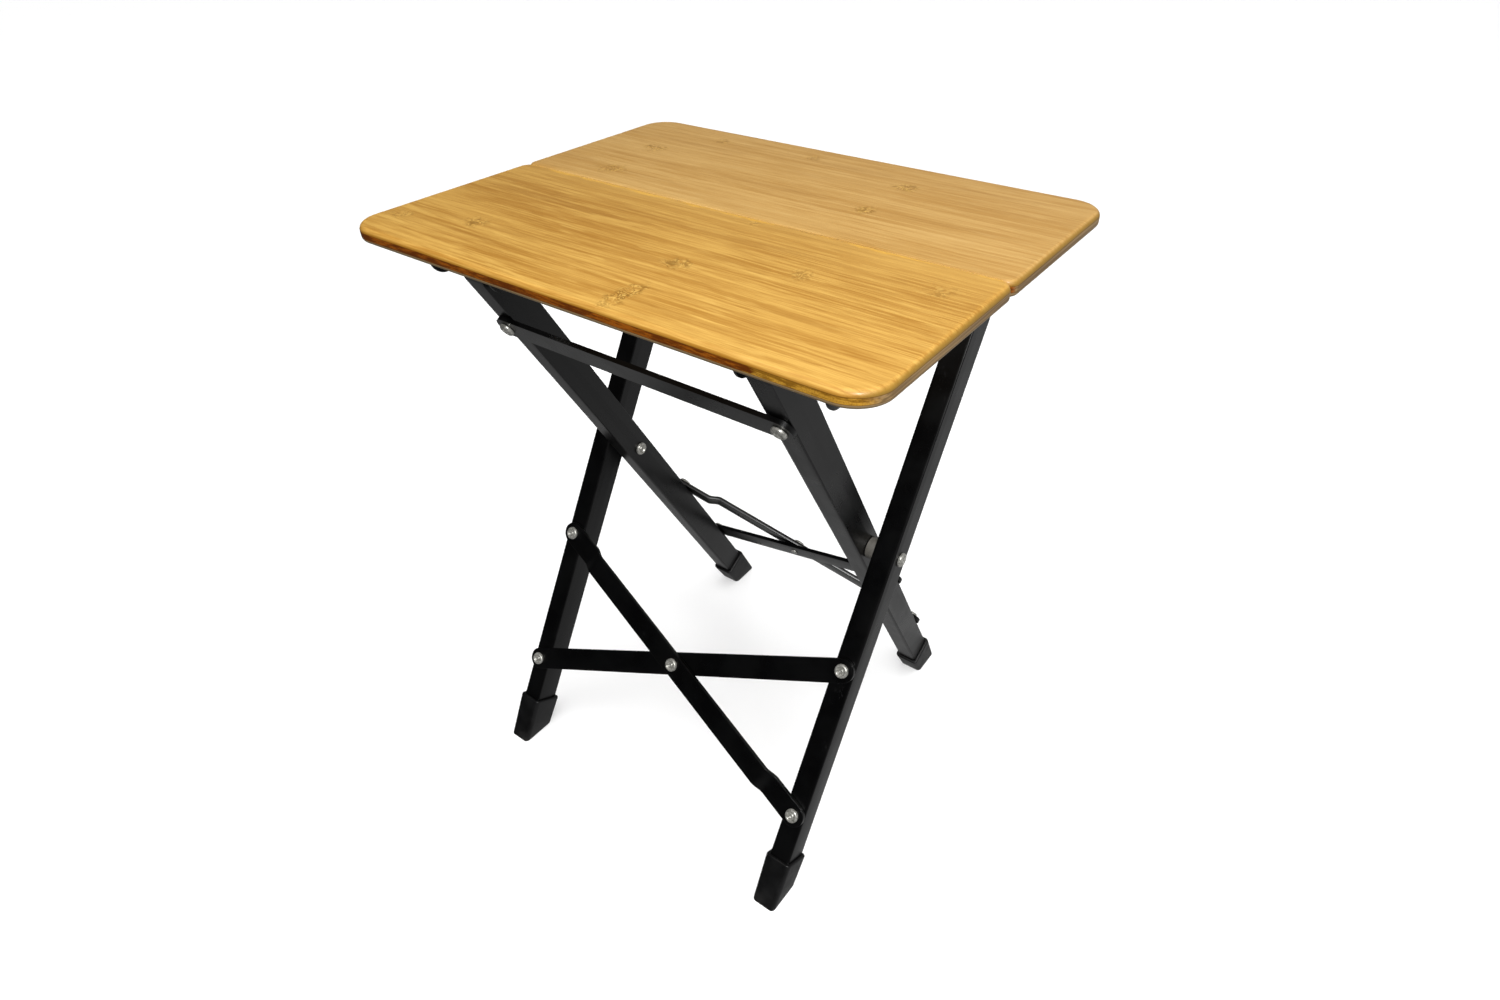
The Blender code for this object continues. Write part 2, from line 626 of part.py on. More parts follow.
def build():
    add_plank("front_plank", front_axis, -1)
    add_plank("back_plank", back_pin, 1)
    outer_holes = (OUTER_BRACE_HIGH, OUTER_BRACE_LOW)
    inner_holes = (INNER_BRACE_HIGH, INNER_BRACE_LOW)
    for side, side_name in ((-1, "left"), (1, "right")):
        outer_x = side * OUTER_LEG_X
        inner_x = side * INNER_LEG_X
        add_leg(f"outer_{side_name}_leg", outer_frame, outer_x, -1, outer_holes, ())
        add_leg(f"inner_{side_name}_leg", inner_frame, inner_x, 1, inner_holes, (BAR_ALONG,))
        add_foot(f"outer_{side_name}_foot", outer_frame, outer_x)
        add_foot(f"inner_{side_name}_foot", inner_frame, inner_x)
        add_crossing(side, side_name)
        add_bracket(f"front_{side_name}", front_axis, side, INNER_LEG_X, -PIN_Y)
        add_bracket(f"back_{side_name}", back_pin, side, OUTER_LEG_X, PIN_Y)
        add_hinge(side_name, side * HINGE_X)
    add_brace("outer", outer_frame, -1, OUTER_LEG_X, OUTER_BRACE_HIGH, OUTER_BRACE_LOW)
    add_brace("inner", inner_frame, 1, INNER_LEG_X, INNER_BRACE_HIGH, INNER_BRACE_LOW)
    add_cross_bar()


build()
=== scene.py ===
"""Looks of the folding side table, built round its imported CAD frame.

Metres, in the table's own axes: +X runs along the planks' grain, -Y is the front and the
floor is at zero. Every piece but the wood screws replaces a CAD node, in that node's place
and size and on its body.
"""
import json
import math

import bmesh
import bpy
from mathutils import Matrix, Vector, noise

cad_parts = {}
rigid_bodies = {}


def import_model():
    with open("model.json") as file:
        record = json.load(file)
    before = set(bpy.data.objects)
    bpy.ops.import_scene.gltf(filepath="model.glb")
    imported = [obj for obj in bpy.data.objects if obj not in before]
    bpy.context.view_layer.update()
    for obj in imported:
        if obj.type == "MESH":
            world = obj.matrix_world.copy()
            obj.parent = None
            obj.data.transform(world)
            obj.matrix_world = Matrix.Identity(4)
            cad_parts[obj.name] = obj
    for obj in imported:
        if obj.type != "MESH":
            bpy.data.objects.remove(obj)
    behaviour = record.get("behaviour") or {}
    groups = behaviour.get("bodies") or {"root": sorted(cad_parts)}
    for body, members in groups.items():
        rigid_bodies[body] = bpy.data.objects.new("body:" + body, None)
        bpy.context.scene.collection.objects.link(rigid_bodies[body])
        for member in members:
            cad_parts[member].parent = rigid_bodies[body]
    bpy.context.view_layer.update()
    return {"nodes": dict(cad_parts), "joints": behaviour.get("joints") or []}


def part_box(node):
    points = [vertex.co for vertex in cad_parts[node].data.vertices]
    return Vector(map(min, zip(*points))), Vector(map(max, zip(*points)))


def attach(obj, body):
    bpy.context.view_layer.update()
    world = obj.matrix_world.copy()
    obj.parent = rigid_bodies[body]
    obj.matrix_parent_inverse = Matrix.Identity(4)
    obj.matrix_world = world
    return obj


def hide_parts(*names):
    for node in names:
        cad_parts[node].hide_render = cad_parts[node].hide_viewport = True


MM = 0.001

# Planks
OUTER_CORNER = 20 * MM
INNER_CORNER = 6 * MM
TOP_ROUND = 3.5 * MM
BOTTOM_ROUND = 2.5 * MM
BUTT_EASE = 0.5 * MM
TOP_PLY = 3.0 * MM
CORE_PLY = 3.4 * MM
LOWER_START = TOP_PLY + CORE_PLY

# Tubes and feet
TUBE_WALL = 1.5 * MM
TUBE_CORNER = 2 * MM
TUBE_ROOM = 0.3 * MM
FOOT_TAPER = 1 * MM
FOOT_CORNER = 3 * MM
FOOT_LIP = 1 * MM
FOOT_SOLE_EDGE = 0.7 * MM

# Strips, bar and sheet metal
STRIP_WIDTH = 16.5 * MM
STRIP_THICK = 3 * MM
STRIP_EDGE = 0.35 * MM
JOGGLE_START = 24.5 * MM
JOGGLE_RUN = 10.5 * MM
BAR_EDGE = 0.5 * MM
BRACKET_THICK = 1.8 * MM
BRACKET_BEND = 2.6 * MM
BRACKET_EDGE = 0.3 * MM
EAR_RADIUS = 10.5 * MM

# Rivets and pins
HEAD_HEIGHT = 2.2 * MM
RIVET_SHANK = 2.1 * MM
RIVET_TAIL = 3 * MM
TAIL_HEIGHT = 1 * MM
PIN_RADIUS = 2.8 * MM
PIN_TAIL = 4.5 * MM
PIN_TAIL_HEIGHT = 1.76 * MM
HOLE_ROOM = 0.3 * MM
ROUGH_HEAD = 0.13 * MM

# Screws: head radius and depth, shank radius, length; their holes: the first three, wider
BRACKET_SCREW = 3.5 * MM, 1.45 * MM, 1.9 * MM, 7 * MM
BRACKET_SINK = 3.6 * MM, 1.5 * MM, 2.2 * MM
LEAF_SCREW = 2.8 * MM, 1.3 * MM, 1.4 * MM, 6.5 * MM
LEAF_SINK = 2.9 * MM, 1.35 * MM, 1.6 * MM

# Hinges
HINGE_THICK = 1.5 * MM
BARREL_RADIUS = 2.4 * MM
HINGE_PIN = 1.1 * MM
HINGE_HEAD = 2 * MM
LEAF_CORNER = 1.5 * MM
LEAF_EDGE = 0.2 * MM

MERGE = 0.001 * MM
PAST = 2 * MM

UP = Vector((0, 0, 1))
ACROSS = Vector((1, 0, 0))
SIDES = ((-1, "left"), (1, "right"))
NO_TURN = Matrix.Identity(4)

for existing in list(bpy.data.objects):
    bpy.data.objects.remove(existing, do_unlink=True)
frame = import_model()
joints = {joint["name"]: joint for joint in frame["joints"]}


# -------------------------------- material nodes

class Graph:
    """A node material, with short calls for the nodes that the finishes share."""

    def __init__(self, name):
        self.material = bpy.data.materials.new(name)
        self.material.use_nodes = True
        self.tree = self.material.node_tree
        self.shader = self.tree.nodes["Principled BSDF"]
        self.place = self.add("ShaderNodeTexCoord").outputs

    def add(self, kind, inputs=None, **settings):
        node = self.tree.nodes.new(kind)
        for name, value in settings.items():
            setattr(node, name, value)
        for socket, value in (inputs or {}).items():
            self.feed(node.inputs[socket], value)
        return node

    def feed(self, socket, value):
        if isinstance(value, bpy.types.NodeSocket):
            self.tree.links.new(value, socket)
        else:
            socket.default_value = value

    def shade(self, **inputs):
        for name, value in inputs.items():
            self.feed(self.shader.inputs[name.replace("_", " ")], value)

    def math(self, operation, *values):
        node = self.add("ShaderNodeMath", operation=operation)
        for socket, value in zip(node.inputs, values):
            self.feed(socket, value)
        return node.outputs[0]

    def plus(self, first, second):
        return self.math("ADD", first, second)

    def minus(self, first, second):
        return self.math("SUBTRACT", first, second)

    def times(self, first, second):
        return self.math("MULTIPLY", first, second)

    def absolute(self, value):
        return self.math("ABSOLUTE", value)

    def swing(self, value, reach):
        """Turns a noise of 0 to 1 into a shift of up to half of reach either way."""
        return self.times(self.minus(value, 0.5), reach)

    def scaled(self, scale, vector=None, location=(0, 0, 0)):
        vector = vector or self.place["Object"]
        return self.add("ShaderNodeMapping", {"Vector": vector, "Location": location,
                                              "Scale": scale}).outputs[0]

    def noise(self, vector, scale=1.0, detail=2.0, rough=0.5, distortion=0.0):
        return self.add("ShaderNodeTexNoise", {
            "Vector": vector, "Scale": scale, "Detail": detail, "Roughness": rough,
            "Distortion": distortion}).outputs["Fac"]

    def ramp(self, value, low, high, to_low=0.0, to_high=1.0):
        """Spreads low..high smoothly over to_low..to_high."""
        node = self.add("ShaderNodeMapRange", {
            "Value": value, "From Min": low, "From Max": high, "To Min": to_low,
            "To Max": to_high}, interpolation_type="SMOOTHSTEP")
        return node.outputs["Result"]

    def mix(self, share, first, second, blend="MIX"):
        node = self.add("ShaderNodeMix", data_type="RGBA", blend_type=blend)
        for socket, value in zip((node.inputs["Factor"], node.inputs[6], node.inputs[7]),
                                 (share, first, second)):
            if isinstance(value, tuple):
                value = (*value, 1.0)
            self.feed(socket, value)
        return node.outputs[2]

    def bump(self, height, strength, distance, normal=None):
        inputs = {"Height": height, "Strength": strength, "Distance": distance}
        if normal is not None:
            inputs["Normal"] = normal
        return self.add("ShaderNodeBump", inputs).outputs[0]


# -------------------------------- finishes

HONEY = (0.44, 0.225, 0.038)
PALE_HONEY = (0.535, 0.308, 0.069)
STRAW = (0.62, 0.390, 0.101)
TOAST = (0.275, 0.121, 0.016)
GOLD_EDGE = (0.72, 0.400, 0.050)
MARK_DARK = (0.19, 0.092, 0.012)
SIDE_SHADE = (0.27, 0.115, 0.010)
END_SHADE = (0.20, 0.115, 0.022)
CORE_DARK = (0.11, 0.024, 0.001)
CORE_WARM = (0.29, 0.080, 0.004)
CORE_STREAK = (0.22, 0.098, 0.007)
CORE_GOLD = (0.47, 0.240, 0.026)
CORE_END_DARK = (0.16, 0.098, 0.040)
CORE_END = (0.30, 0.192, 0.084)
# Lower ply: its own grey-tan, with a painted reflection of the floor mixed in
LOWER_PLY_AND_FLOOR_SHEEN = (0.27, 0.190, 0.098)
END_GRAIN = (0.22, 0.125, 0.018)
GLUE = (0.06, 0.020, 0.002)
WARM_TINT = (1.0, 1.0, 1.0)
PAINTED_SHEEN_TINT = (0.98, 1.07, 1.66)
SLAT = 21 * MM
CORE_CHANGE = 116 * MM


def mark_mask(graph, apart, shift, knots):
    """Where the culm's nodes show on the top: soft ragged ovals, one for each knot."""
    ragged = graph.swing(graph.noise(graph.scaled((150, 200, 200))), 1.6)
    marks = None
    for x, y, long, wide, force in knots:
        along = graph.math("DIVIDE", graph.minus(apart["X"], x * MM + shift[0]), long * MM)
        beside = graph.math("DIVIDE", graph.minus(apart["Y"], y * MM + shift[1]), wide * MM)
        square = graph.plus(graph.times(along, along), graph.times(beside, beside))
        reach = graph.plus(graph.math("SQRT", square), ragged)
        mark = graph.ramp(reach, 0.25, 1.1, force, 0.0)
        marks = mark if marks is None else graph.math("MAXIMUM", marks, mark)
    return marks


def bamboo(name, top, shift, knots, tint, gold_edge, grain):
    """Lacquered three-ply bamboo: slats along X on the faces, a crosswise core between them.

    knots are the places of the culm's node marks in millimetres; tint multiplies the grain's
    colour, and on the back plank it is a painted sheen that pales and blues the wood as a
    reflection would; gold_edge is the share of the bright strip along the butted edge; grain
    scales the contrast of the streaks.
    """
    graph = Graph(name)
    here = graph.scaled((1, 1, 1), location=shift)
    apart = graph.add("ShaderNodeSeparateXYZ", {0: here}).outputs
    facing = graph.add("ShaderNodeSeparateXYZ", {0: graph.place["Normal"]}).outputs
    marks = mark_mask(graph, apart, shift, knots)

    # Slats side by side, each with its own tone
    slat_place = graph.math("DIVIDE", apart["Y"], SLAT)
    slat = graph.math("FLOOR", slat_place)
    own = graph.add("ShaderNodeTexWhiteNoise", {"W": slat}, noise_dimensions="1D").outputs["Value"]
    across_slat = graph.absolute(graph.minus(graph.math("FRACT", slat_place), 0.5))
    slat_line = graph.ramp(across_slat, 0.485, 0.5)

    # Grain along X, kinked where a node crosses it
    slow_wave = graph.noise(graph.scaled((7, 14, 14), here), detail=1.0)
    kink = graph.swing(graph.noise(graph.scaled((240, 240, 240), here)), marks)
    aside = graph.plus(graph.swing(slow_wave, 3.5 * MM), graph.times(kink, 9 * MM))
    wander = graph.add("ShaderNodeCombineXYZ", {"Y": aside}).outputs[0]
    flowing = graph.add("ShaderNodeVectorMath", {0: here, 1: wander}, operation="ADD").outputs[0]
    bands = graph.noise(graph.scaled((3.5, 95, 95), flowing))
    lines = graph.noise(graph.scaled((8, 330, 330), flowing), rough=0.6)
    streaks = graph.noise(graph.scaled((26, 850, 850), flowing), detail=3.0, rough=0.65)
    fibres = graph.noise(graph.scaled((70, 2600, 2600), flowing), rough=0.7)
    dashes = graph.noise(graph.scaled((38, 480, 480), flowing), detail=1.5)
    patches = graph.noise(graph.scaled((11, 30, 30), here))
    smears = graph.noise(graph.scaled((7, 85, 85), flowing), rough=0.55)

    tone = graph.plus(graph.times(bands, 0.22), graph.times(lines, 0.34))
    tone = graph.plus(tone, graph.times(streaks, 0.44))
    tone = graph.plus(tone, graph.swing(own, 0.05))
    colour = graph.mix(graph.ramp(tone, 0.37, 0.63), TOAST, STRAW)
    colour = graph.mix(1 - 0.5 * grain, colour, HONEY)
    colour = graph.mix(graph.ramp(dashes, 0.58, 0.74, 0.0, 0.34 * grain), colour, TOAST)
    colour = graph.mix(graph.ramp(dashes, 0.42, 0.27, 0.0, 0.34 * grain), colour, STRAW)
    colour = graph.mix(graph.ramp(fibres, 0.45, 0.70, 0.0, 0.20 * grain), colour, TOAST)
    colour = graph.mix(graph.ramp(patches, 0.45, 0.72, 0.0, 0.26), colour, PALE_HONEY)
    colour = graph.mix(graph.ramp(smears, 0.54, 0.72, 0.0, 0.36 * grain), colour, TOAST)
    colour = graph.mix(graph.times(slat_line, 0.10), colour, TOAST)
    # On the back plank the tint is a painted sheen: a paler, bluer wash standing in for reflected
    # light
    colour = graph.mix(1.0, colour, tint, "MULTIPLY")

    # Node marks: a brown ground with thin dark strokes and light flecks
    winding = graph.noise(graph.scaled((210, 170, 170), here), detail=1.5, distortion=1.3)
    strokes = graph.ramp(graph.absolute(graph.minus(winding, 0.5)), 0.02, 0.09, 1.0, 0.0)
    flecks = graph.noise(graph.scaled((300, 360, 360), here), detail=1.0, distortion=0.6)
    dark_stroke = graph.times(marks, strokes)
    light_fleck = graph.times(marks, graph.ramp(flecks, 0.50, 0.60))
    colour = graph.mix(graph.times(marks, 0.20), colour, TOAST)
    colour = graph.mix(graph.times(light_fleck, 0.75), colour, STRAW)
    colour = graph.mix(graph.times(dark_stroke, 0.9), colour, MARK_DARK)

    # The butted edge ends in a bright, uneven strip; the ends show the faces' end grain
    butted = graph.absolute(graph.minus(apart["Y"], shift[1]))
    colour = graph.mix(graph.ramp(butted, 40 * MM, 6 * MM, 0.0, 0.6 * gold_edge), colour,
                       PALE_HONEY)
    uneven = graph.noise(graph.scaled((30, 30, 30), here), detail=3.0)
    from_seam = graph.plus(butted, graph.times(graph.minus(uneven, 0.45), 14 * MM))
    colour = graph.mix(graph.ramp(from_seam, 4.0 * MM, 2.0 * MM, 0.0, gold_edge), colour,
                       GOLD_EDGE)
    on_end = graph.ramp(graph.absolute(facing["X"]), 0.35, 0.85)
    on_long = graph.ramp(graph.absolute(facing["Y"]), 0.35, 0.80)
    pores = graph.noise(graph.scaled((1500, 1500, 1100), here), rough=0.6)
    pore_dark = graph.ramp(pores, 0.45, 0.68)
    face_end = graph.mix(graph.times(pore_dark, 0.45), END_GRAIN, TOAST)
    colour = graph.mix(graph.times(on_end, 0.85), colour, face_end)

    # Depth picks the ply, between wavy glue lines
    depth = graph.minus(top, graph.minus(apart["Z"], shift[2]))
    wavy = graph.noise(graph.scaled((26, 26, 1), here))
    depth = graph.plus(depth, graph.swing(wavy, 0.6 * MM))
    core_blocks = graph.noise(graph.scaled((34, 34, 60), here), detail=1.0)
    core_dashes = graph.noise(graph.scaled((120, 120, 1000), here), detail=3.0, rough=0.6)
    core_tone = graph.plus(graph.times(core_blocks, 0.35), graph.times(core_dashes, 0.65))
    change = graph.plus(apart["X"], graph.swing(core_dashes, 30 * MM))
    change = graph.ramp(change, CORE_CHANGE + shift[0] - 2 * MM, CORE_CHANGE + shift[0] + 2 * MM)
    change = graph.times(change, graph.ramp(butted, 4 * MM, 8 * MM))
    dark_core = graph.mix(graph.ramp(core_tone, 0.44, 0.60), CORE_DARK, CORE_WARM)
    deeper = graph.ramp(depth, TOP_PLY, LOWER_START, -0.08, 0.08)
    gold_core = graph.mix(graph.ramp(graph.plus(core_tone, deeper), 0.43, 0.55),
                          CORE_STREAK, CORE_GOLD)
    core_end = graph.mix(change, dark_core, gold_core)
    core_end = graph.mix(graph.times(pore_dark, 0.35), core_end, GLUE)
    core_grain = graph.noise(graph.scaled((900, 14, 900), here))
    core_long = graph.mix(graph.ramp(core_grain, 0.35, 0.65), CORE_END_DARK, CORE_END)
    core = graph.mix(on_long, core_long, core_end)
    soft = 0.12 * MM
    below_top = graph.ramp(depth, TOP_PLY - soft, TOP_PLY + soft)
    above_lower = graph.ramp(depth, LOWER_START + soft, LOWER_START - soft)
    in_core = graph.times(below_top, above_lower)
    on_side = graph.math("MAXIMUM", on_long, on_end)
    in_lower = graph.times(graph.minus(1.0, above_lower), graph.ramp(facing["Z"], -0.97, -0.80))
    side_top = graph.ramp(depth, 1.3 * MM, 2.6 * MM, 0.0, 0.75)
    colour = graph.mix(graph.times(side_top, on_long), colour, SIDE_SHADE)
    colour = graph.mix(graph.times(side_top, on_end), colour, END_SHADE)
    colour = graph.mix(in_core, colour, core)
    # The lower ply takes its own colour, partly a painted reflection of the floor below
    colour = graph.mix(graph.times(in_lower, 0.85), colour, LOWER_PLY_AND_FLOOR_SHEEN)
    near_line = graph.math("MINIMUM", graph.absolute(graph.minus(depth, TOP_PLY)),
                           graph.absolute(graph.minus(depth, LOWER_START)))
    line = graph.ramp(near_line, 0.22 * MM, 0.06 * MM, 0.0, 0.7)
    colour = graph.mix(line, colour, GLUE)

    # Lacquer: glossier on the faces than on the thirsty sides and ends
    fine_gloss = graph.ramp(fibres, 0.3, 0.7, 0.30, 0.40)
    gloss = graph.plus(fine_gloss, graph.times(on_side, 0.10))
    thin = graph.minus(1.0, graph.times(on_side, 0.6))
    rise = graph.plus(graph.times(fibres, 0.7), graph.times(graph.times(marks, flecks), 0.8))
    rise = graph.minus(rise, graph.times(slat_line, 0.5))
    rise = graph.minus(rise, graph.times(line, 0.6))
    wave = graph.noise(graph.scaled((18, 45, 45), here), detail=1.0)
    normal = graph.bump(wave, 0.25, 0.25 * MM, graph.bump(rise, 0.35, 0.05 * MM))
    graph.shade(Base_Color=colour, Roughness=gloss, Normal=normal,
                Coat_Weight=graph.times(thin, 0.25), Coat_Roughness=0.14,
                Specular_IOR_Level=graph.times(thin, 0.35))
    return graph.material


BLACKS = (0.0006, 0.0006, 0.0007), (0.0016, 0.0016, 0.0017)
SCUFF = (0.03, 0.03, 0.032)
RUBBERS = (0.0014, 0.0014, 0.0015), (0.0035, 0.0035, 0.0037)
DUST = (0.08, 0.077, 0.072)
ZINCS = (0.29, 0.29, 0.26), (0.60, 0.59, 0.55)
PIT = (0.16, 0.15, 0.14)
SHEETS = (0.44, 0.44, 0.45), (0.60, 0.60, 0.60)
ROLL_MARK = (0.33, 0.33, 0.34)
NYLONS = (0.085, 0.080, 0.070), (0.13, 0.122, 0.108)


def powder_coat():
    """Satin black powder over steel: orange peel, cloudy sheen and light scuffs."""
    graph = Graph("satin_black_powder")
    cloud = graph.noise(graph.place["Object"], 38, 3.0, 0.6)
    peel = graph.noise(graph.place["Object"], 950, 2.0, 0.5)
    grit = graph.noise(graph.place["Object"], 3800, 1.0, 0.5)
    scuff_place = graph.noise(graph.scaled((60, 60, 22)), detail=4.0, rough=0.7)
    scuff_grain = graph.noise(graph.scaled((900, 900, 240)), rough=0.6)
    scuff = graph.times(graph.ramp(scuff_place, 0.60, 0.76),
                       graph.ramp(scuff_grain, 0.50, 0.70))
    colour = graph.mix(graph.ramp(cloud, 0.3, 0.7), *BLACKS)
    colour = graph.mix(graph.times(scuff, 0.4), colour, SCUFF)
    rough = graph.plus(graph.ramp(cloud, 0.3, 0.7, 0.26, 0.33),
                       graph.times(scuff, 0.14))
    height = graph.plus(graph.times(peel, 0.8), graph.times(grit, 0.2))
    graph.shade(Base_Color=colour, Roughness=rough, Specular_IOR_Level=0.42,
                Normal=graph.bump(height, 0.22, 0.06 * MM))
    return graph.material


def rubber():
    """Matt moulded rubber with a fine grain and a little dust towards the sole."""
    graph = Graph("moulded_rubber")
    height = graph.add("ShaderNodeSeparateXYZ", {0: graph.place["Object"]}).outputs["Z"]
    cloud = graph.noise(graph.place["Object"], 90, 4.0, 0.6)
    grain = graph.noise(graph.place["Object"], 2200, 2.0, 0.6)
    dust = graph.times(graph.ramp(height, 14 * MM, 0.0), graph.ramp(cloud, 0.35, 0.75))
    colour = graph.mix(graph.ramp(cloud, 0.3, 0.7), *RUBBERS)
    colour = graph.mix(graph.times(dust, 0.16), colour, DUST)
    rough = graph.ramp(cloud, 0.3, 0.7, 0.40, 0.52)
    graph.shade(Base_Color=colour, Roughness=rough, Specular_IOR_Level=0.46,
                Normal=graph.bump(grain, 0.30, 0.08 * MM))
    return graph.material


def rivet_steel():
    """Zinc-plated rivet steel, mottled and pitted where it was set."""
    graph = Graph("zinc_rivet")
    mottle = graph.noise(graph.place["Object"], 620, 3.0, 0.65)
    pits = graph.noise(graph.place["Object"], 1700, 2.0, 0.6)
    colour = graph.mix(graph.ramp(mottle, 0.32, 0.68), *ZINCS)
    colour = graph.mix(graph.ramp(pits, 0.60, 0.75, 0.0, 0.5), colour, PIT)
    rough = graph.ramp(mottle, 0.3, 0.7, 0.26, 0.42)
    height = graph.plus(mottle, graph.times(pits, 0.5))
    graph.shade(Base_Color=colour, Metallic=0.65, Roughness=rough,
                Normal=graph.bump(height, 0.25, 0.12 * MM))
    return graph.material


def hinge_steel():
    """Zinc-plated sheet with the faint marks of rolling and pressing."""
    graph = Graph("zinc_sheet")
    rolled = graph.noise(graph.scaled((60, 1400, 1400)), detail=3.0, rough=0.6)
    cloud = graph.noise(graph.place["Object"], 130, 3.0, 0.6)
    colour = graph.mix(graph.ramp(cloud, 0.3, 0.7), *SHEETS)
    colour = graph.mix(graph.ramp(rolled, 0.5, 0.8, 0.0, 0.35), colour, ROLL_MARK)
    rough = graph.plus(graph.ramp(cloud, 0.3, 0.7, 0.28, 0.38),
                       graph.ramp(rolled, 0.4, 0.7, 0.0, 0.08))
    graph.shade(Base_Color=colour, Metallic=1.0, Roughness=rough,
                Normal=graph.bump(rolled, 0.15, 0.04 * MM))
    return graph.material


def nylon():
    """Grey-beige nylon spacers with a dull moulded skin."""
    graph = Graph("grey_nylon")
    cloud = graph.noise(graph.place["Object"], 240, 3.0, 0.6)
    grain = graph.noise(graph.place["Object"], 1900, 2.0, 0.5)
    colour = graph.mix(graph.ramp(cloud, 0.3, 0.7), *NYLONS)
    graph.shade(Base_Color=colour, Roughness=graph.ramp(cloud, 0.3, 0.7, 0.42, 0.56),
                Normal=graph.bump(grain, 0.2, 0.05 * MM))
    return graph.material


FRONT_KNOTS = ((-112, -95, 11, 9, 0.8), (22, -77, 10, 10, 0.8), (26, -121, 7, 19, 1.0),
               (20, -7, 7, 5, 0.8), (84, -52, 8, 10, 0.6), (-160, -112, 9, 8, 0.6),
               (150, -30, 8, 9, 0.5))
BACK_KNOTS = ((-125, 76, 12, 9, 0.8), (-118, 24, 11, 10, 0.75), (60, 98, 9, 9, 0.8),
              (61, 50, 8, 9, 0.8), (-96, 116, 8, 7, 0.6), (-20, 118, 8, 8, 0.4))

back_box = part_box("back_plank")
FINISHES = {
    "front_bamboo": bamboo("front_bamboo", back_box[1].z, (0, 0, 0), FRONT_KNOTS, WARM_TINT,
                           0.5, 1.2),
    # The back plank's tint is a painted sheen, making a paler and bluer copy of the same bamboo
    "back_bamboo": bamboo("back_bamboo", back_box[1].z, (0.61, 0.34, 0), BACK_KNOTS, PAINTED_SHEEN_TINT,
                          0.0, 0.7),
    "powder_coat": powder_coat(),
    "rubber": rubber(),
    "rivet_steel": rivet_steel(),
    "hinge_steel": hinge_steel(),
    "spacer_plastic": nylon(),
}


# -------------------------------- frames and boxes

def leg_axes(pin):
    """A leg frame's axes: X as the table's, Y out of its back face, Z up along the legs."""
    spacer_low, spacer_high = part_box("left_pivot_spacer")
    crossing = (spacer_low + spacer_high) / 2
    crossing.x = 0
    along = (Vector(pin) - crossing).normalized()
    axes = Matrix((ACROSS, along.cross(ACROSS), along)).transposed().to_4x4()
    return Matrix.Translation(crossing) @ axes


OUTER = leg_axes(joints["back_plank_fold"]["pos_m"])
INNER = leg_axes(joints["inner_legs_fold"]["pos_m"])
BACK_PIN = Vector(joints["back_plank_fold"]["pos_m"])
FRONT_PIN = Vector(joints["inner_legs_fold"]["pos_m"])
SEAM = Vector(joints["seam_fold"]["pos_m"])


def node_box(node, axes=NO_TURN):
    """A CAD node's lowest and highest corners in the given axes, and their middle."""
    inverse = axes.inverted()
    points = [inverse @ vertex.co for vertex in frame["nodes"][node].data.vertices]
    low = Vector([min(point[i] for point in points) for i in range(3)])
    high = Vector([max(point[i] for point in points) for i in range(3)])
    return low, high, (low + high) / 2


def at(x, y, z):
    return Matrix.Translation((x, y, z))


def turned_to(direction, place):
    """A matrix that puts the origin at a place and turns Z towards a direction."""
    direction = Vector(direction).normalized()
    turn = UP.rotation_difference(direction).to_matrix().to_4x4()
    return Matrix.Translation(place) @ turn


# -------------------------------- pieces

def smooth(mesh, degrees):
    mesh.shade_smooth()
    mesh.set_sharp_from_angle(angle=math.radians(degrees))


def add_piece(name, bm, finish, body, axes=NO_TURN, stands_for=True,
              degrees=32):
    """A finished piece from a bmesh; it replaces the CAD node of the same name."""
    bmesh.ops.recalc_face_normals(bm, faces=bm.faces)
    bm.transform(axes)
    mesh = bpy.data.meshes.new(name)
    bm.to_mesh(mesh)
    bm.free()
    smooth(mesh, degrees)
    piece = bpy.data.objects.new(name + "_look", mesh)
    bpy.context.scene.collection.objects.link(piece)
    mesh.materials.append(FINISHES[finish])
    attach(piece, body)
    if stands_for:
        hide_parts(name)
    return piece


def carve(bm, cutters, operation="DIFFERENCE"):
    """Booleans a bmesh with others, one after another, and gives the result."""
    def temporary(source):
        bmesh.ops.recalc_face_normals(source, faces=source.faces)
        mesh = bpy.data.meshes.new("carving")
        source.to_mesh(mesh)
        source.free()
        item = bpy.data.objects.new("carving", mesh)
        bpy.context.scene.collection.objects.link(item)
        return item

    target = temporary(bm)
    tools = [temporary(cutter) for cutter in cutters]
    for tool in tools:
        modifier = target.modifiers.new("carve", "BOOLEAN")
        modifier.operation = operation
        modifier.solver = "EXACT"
        modifier.object = tool
    bpy.context.view_layer.update()
    evaluated = target.evaluated_get(bpy.context.evaluated_depsgraph_get())
    result = bmesh.new()
    result.from_mesh(evaluated.to_mesh())
    evaluated.to_mesh_clear()
    for item in [target, *tools]:
        mesh = item.data
        bpy.data.objects.remove(item, do_unlink=True)
        bpy.data.meshes.remove(mesh)
    bmesh.ops.remove_doubles(result, verts=result.verts, dist=MERGE)
    return result


def arc(centre, radius, start, end, steps):
    """Points on an arc in degrees, both ends included."""
    points = []
    for step in range(steps + 1):
        angle = math.radians(start + (end - start) * step / steps)
        points.append((centre[0] + radius * math.cos(angle),
                       centre[1] + radius * math.sin(angle)))
    return points


def rounded(half_x, half_y, radius, steps):
    """A rounded rectangle about the origin, counterclockwise."""
    points = []
    for x, y, start in ((1, 1, 0), (-1, 1, 90), (-1, -1, 180), (1, -1, 270)):
        points += arc((x * (half_x - radius), y * (half_y - radius)), radius, start,
                      start + 90, steps)
    return points


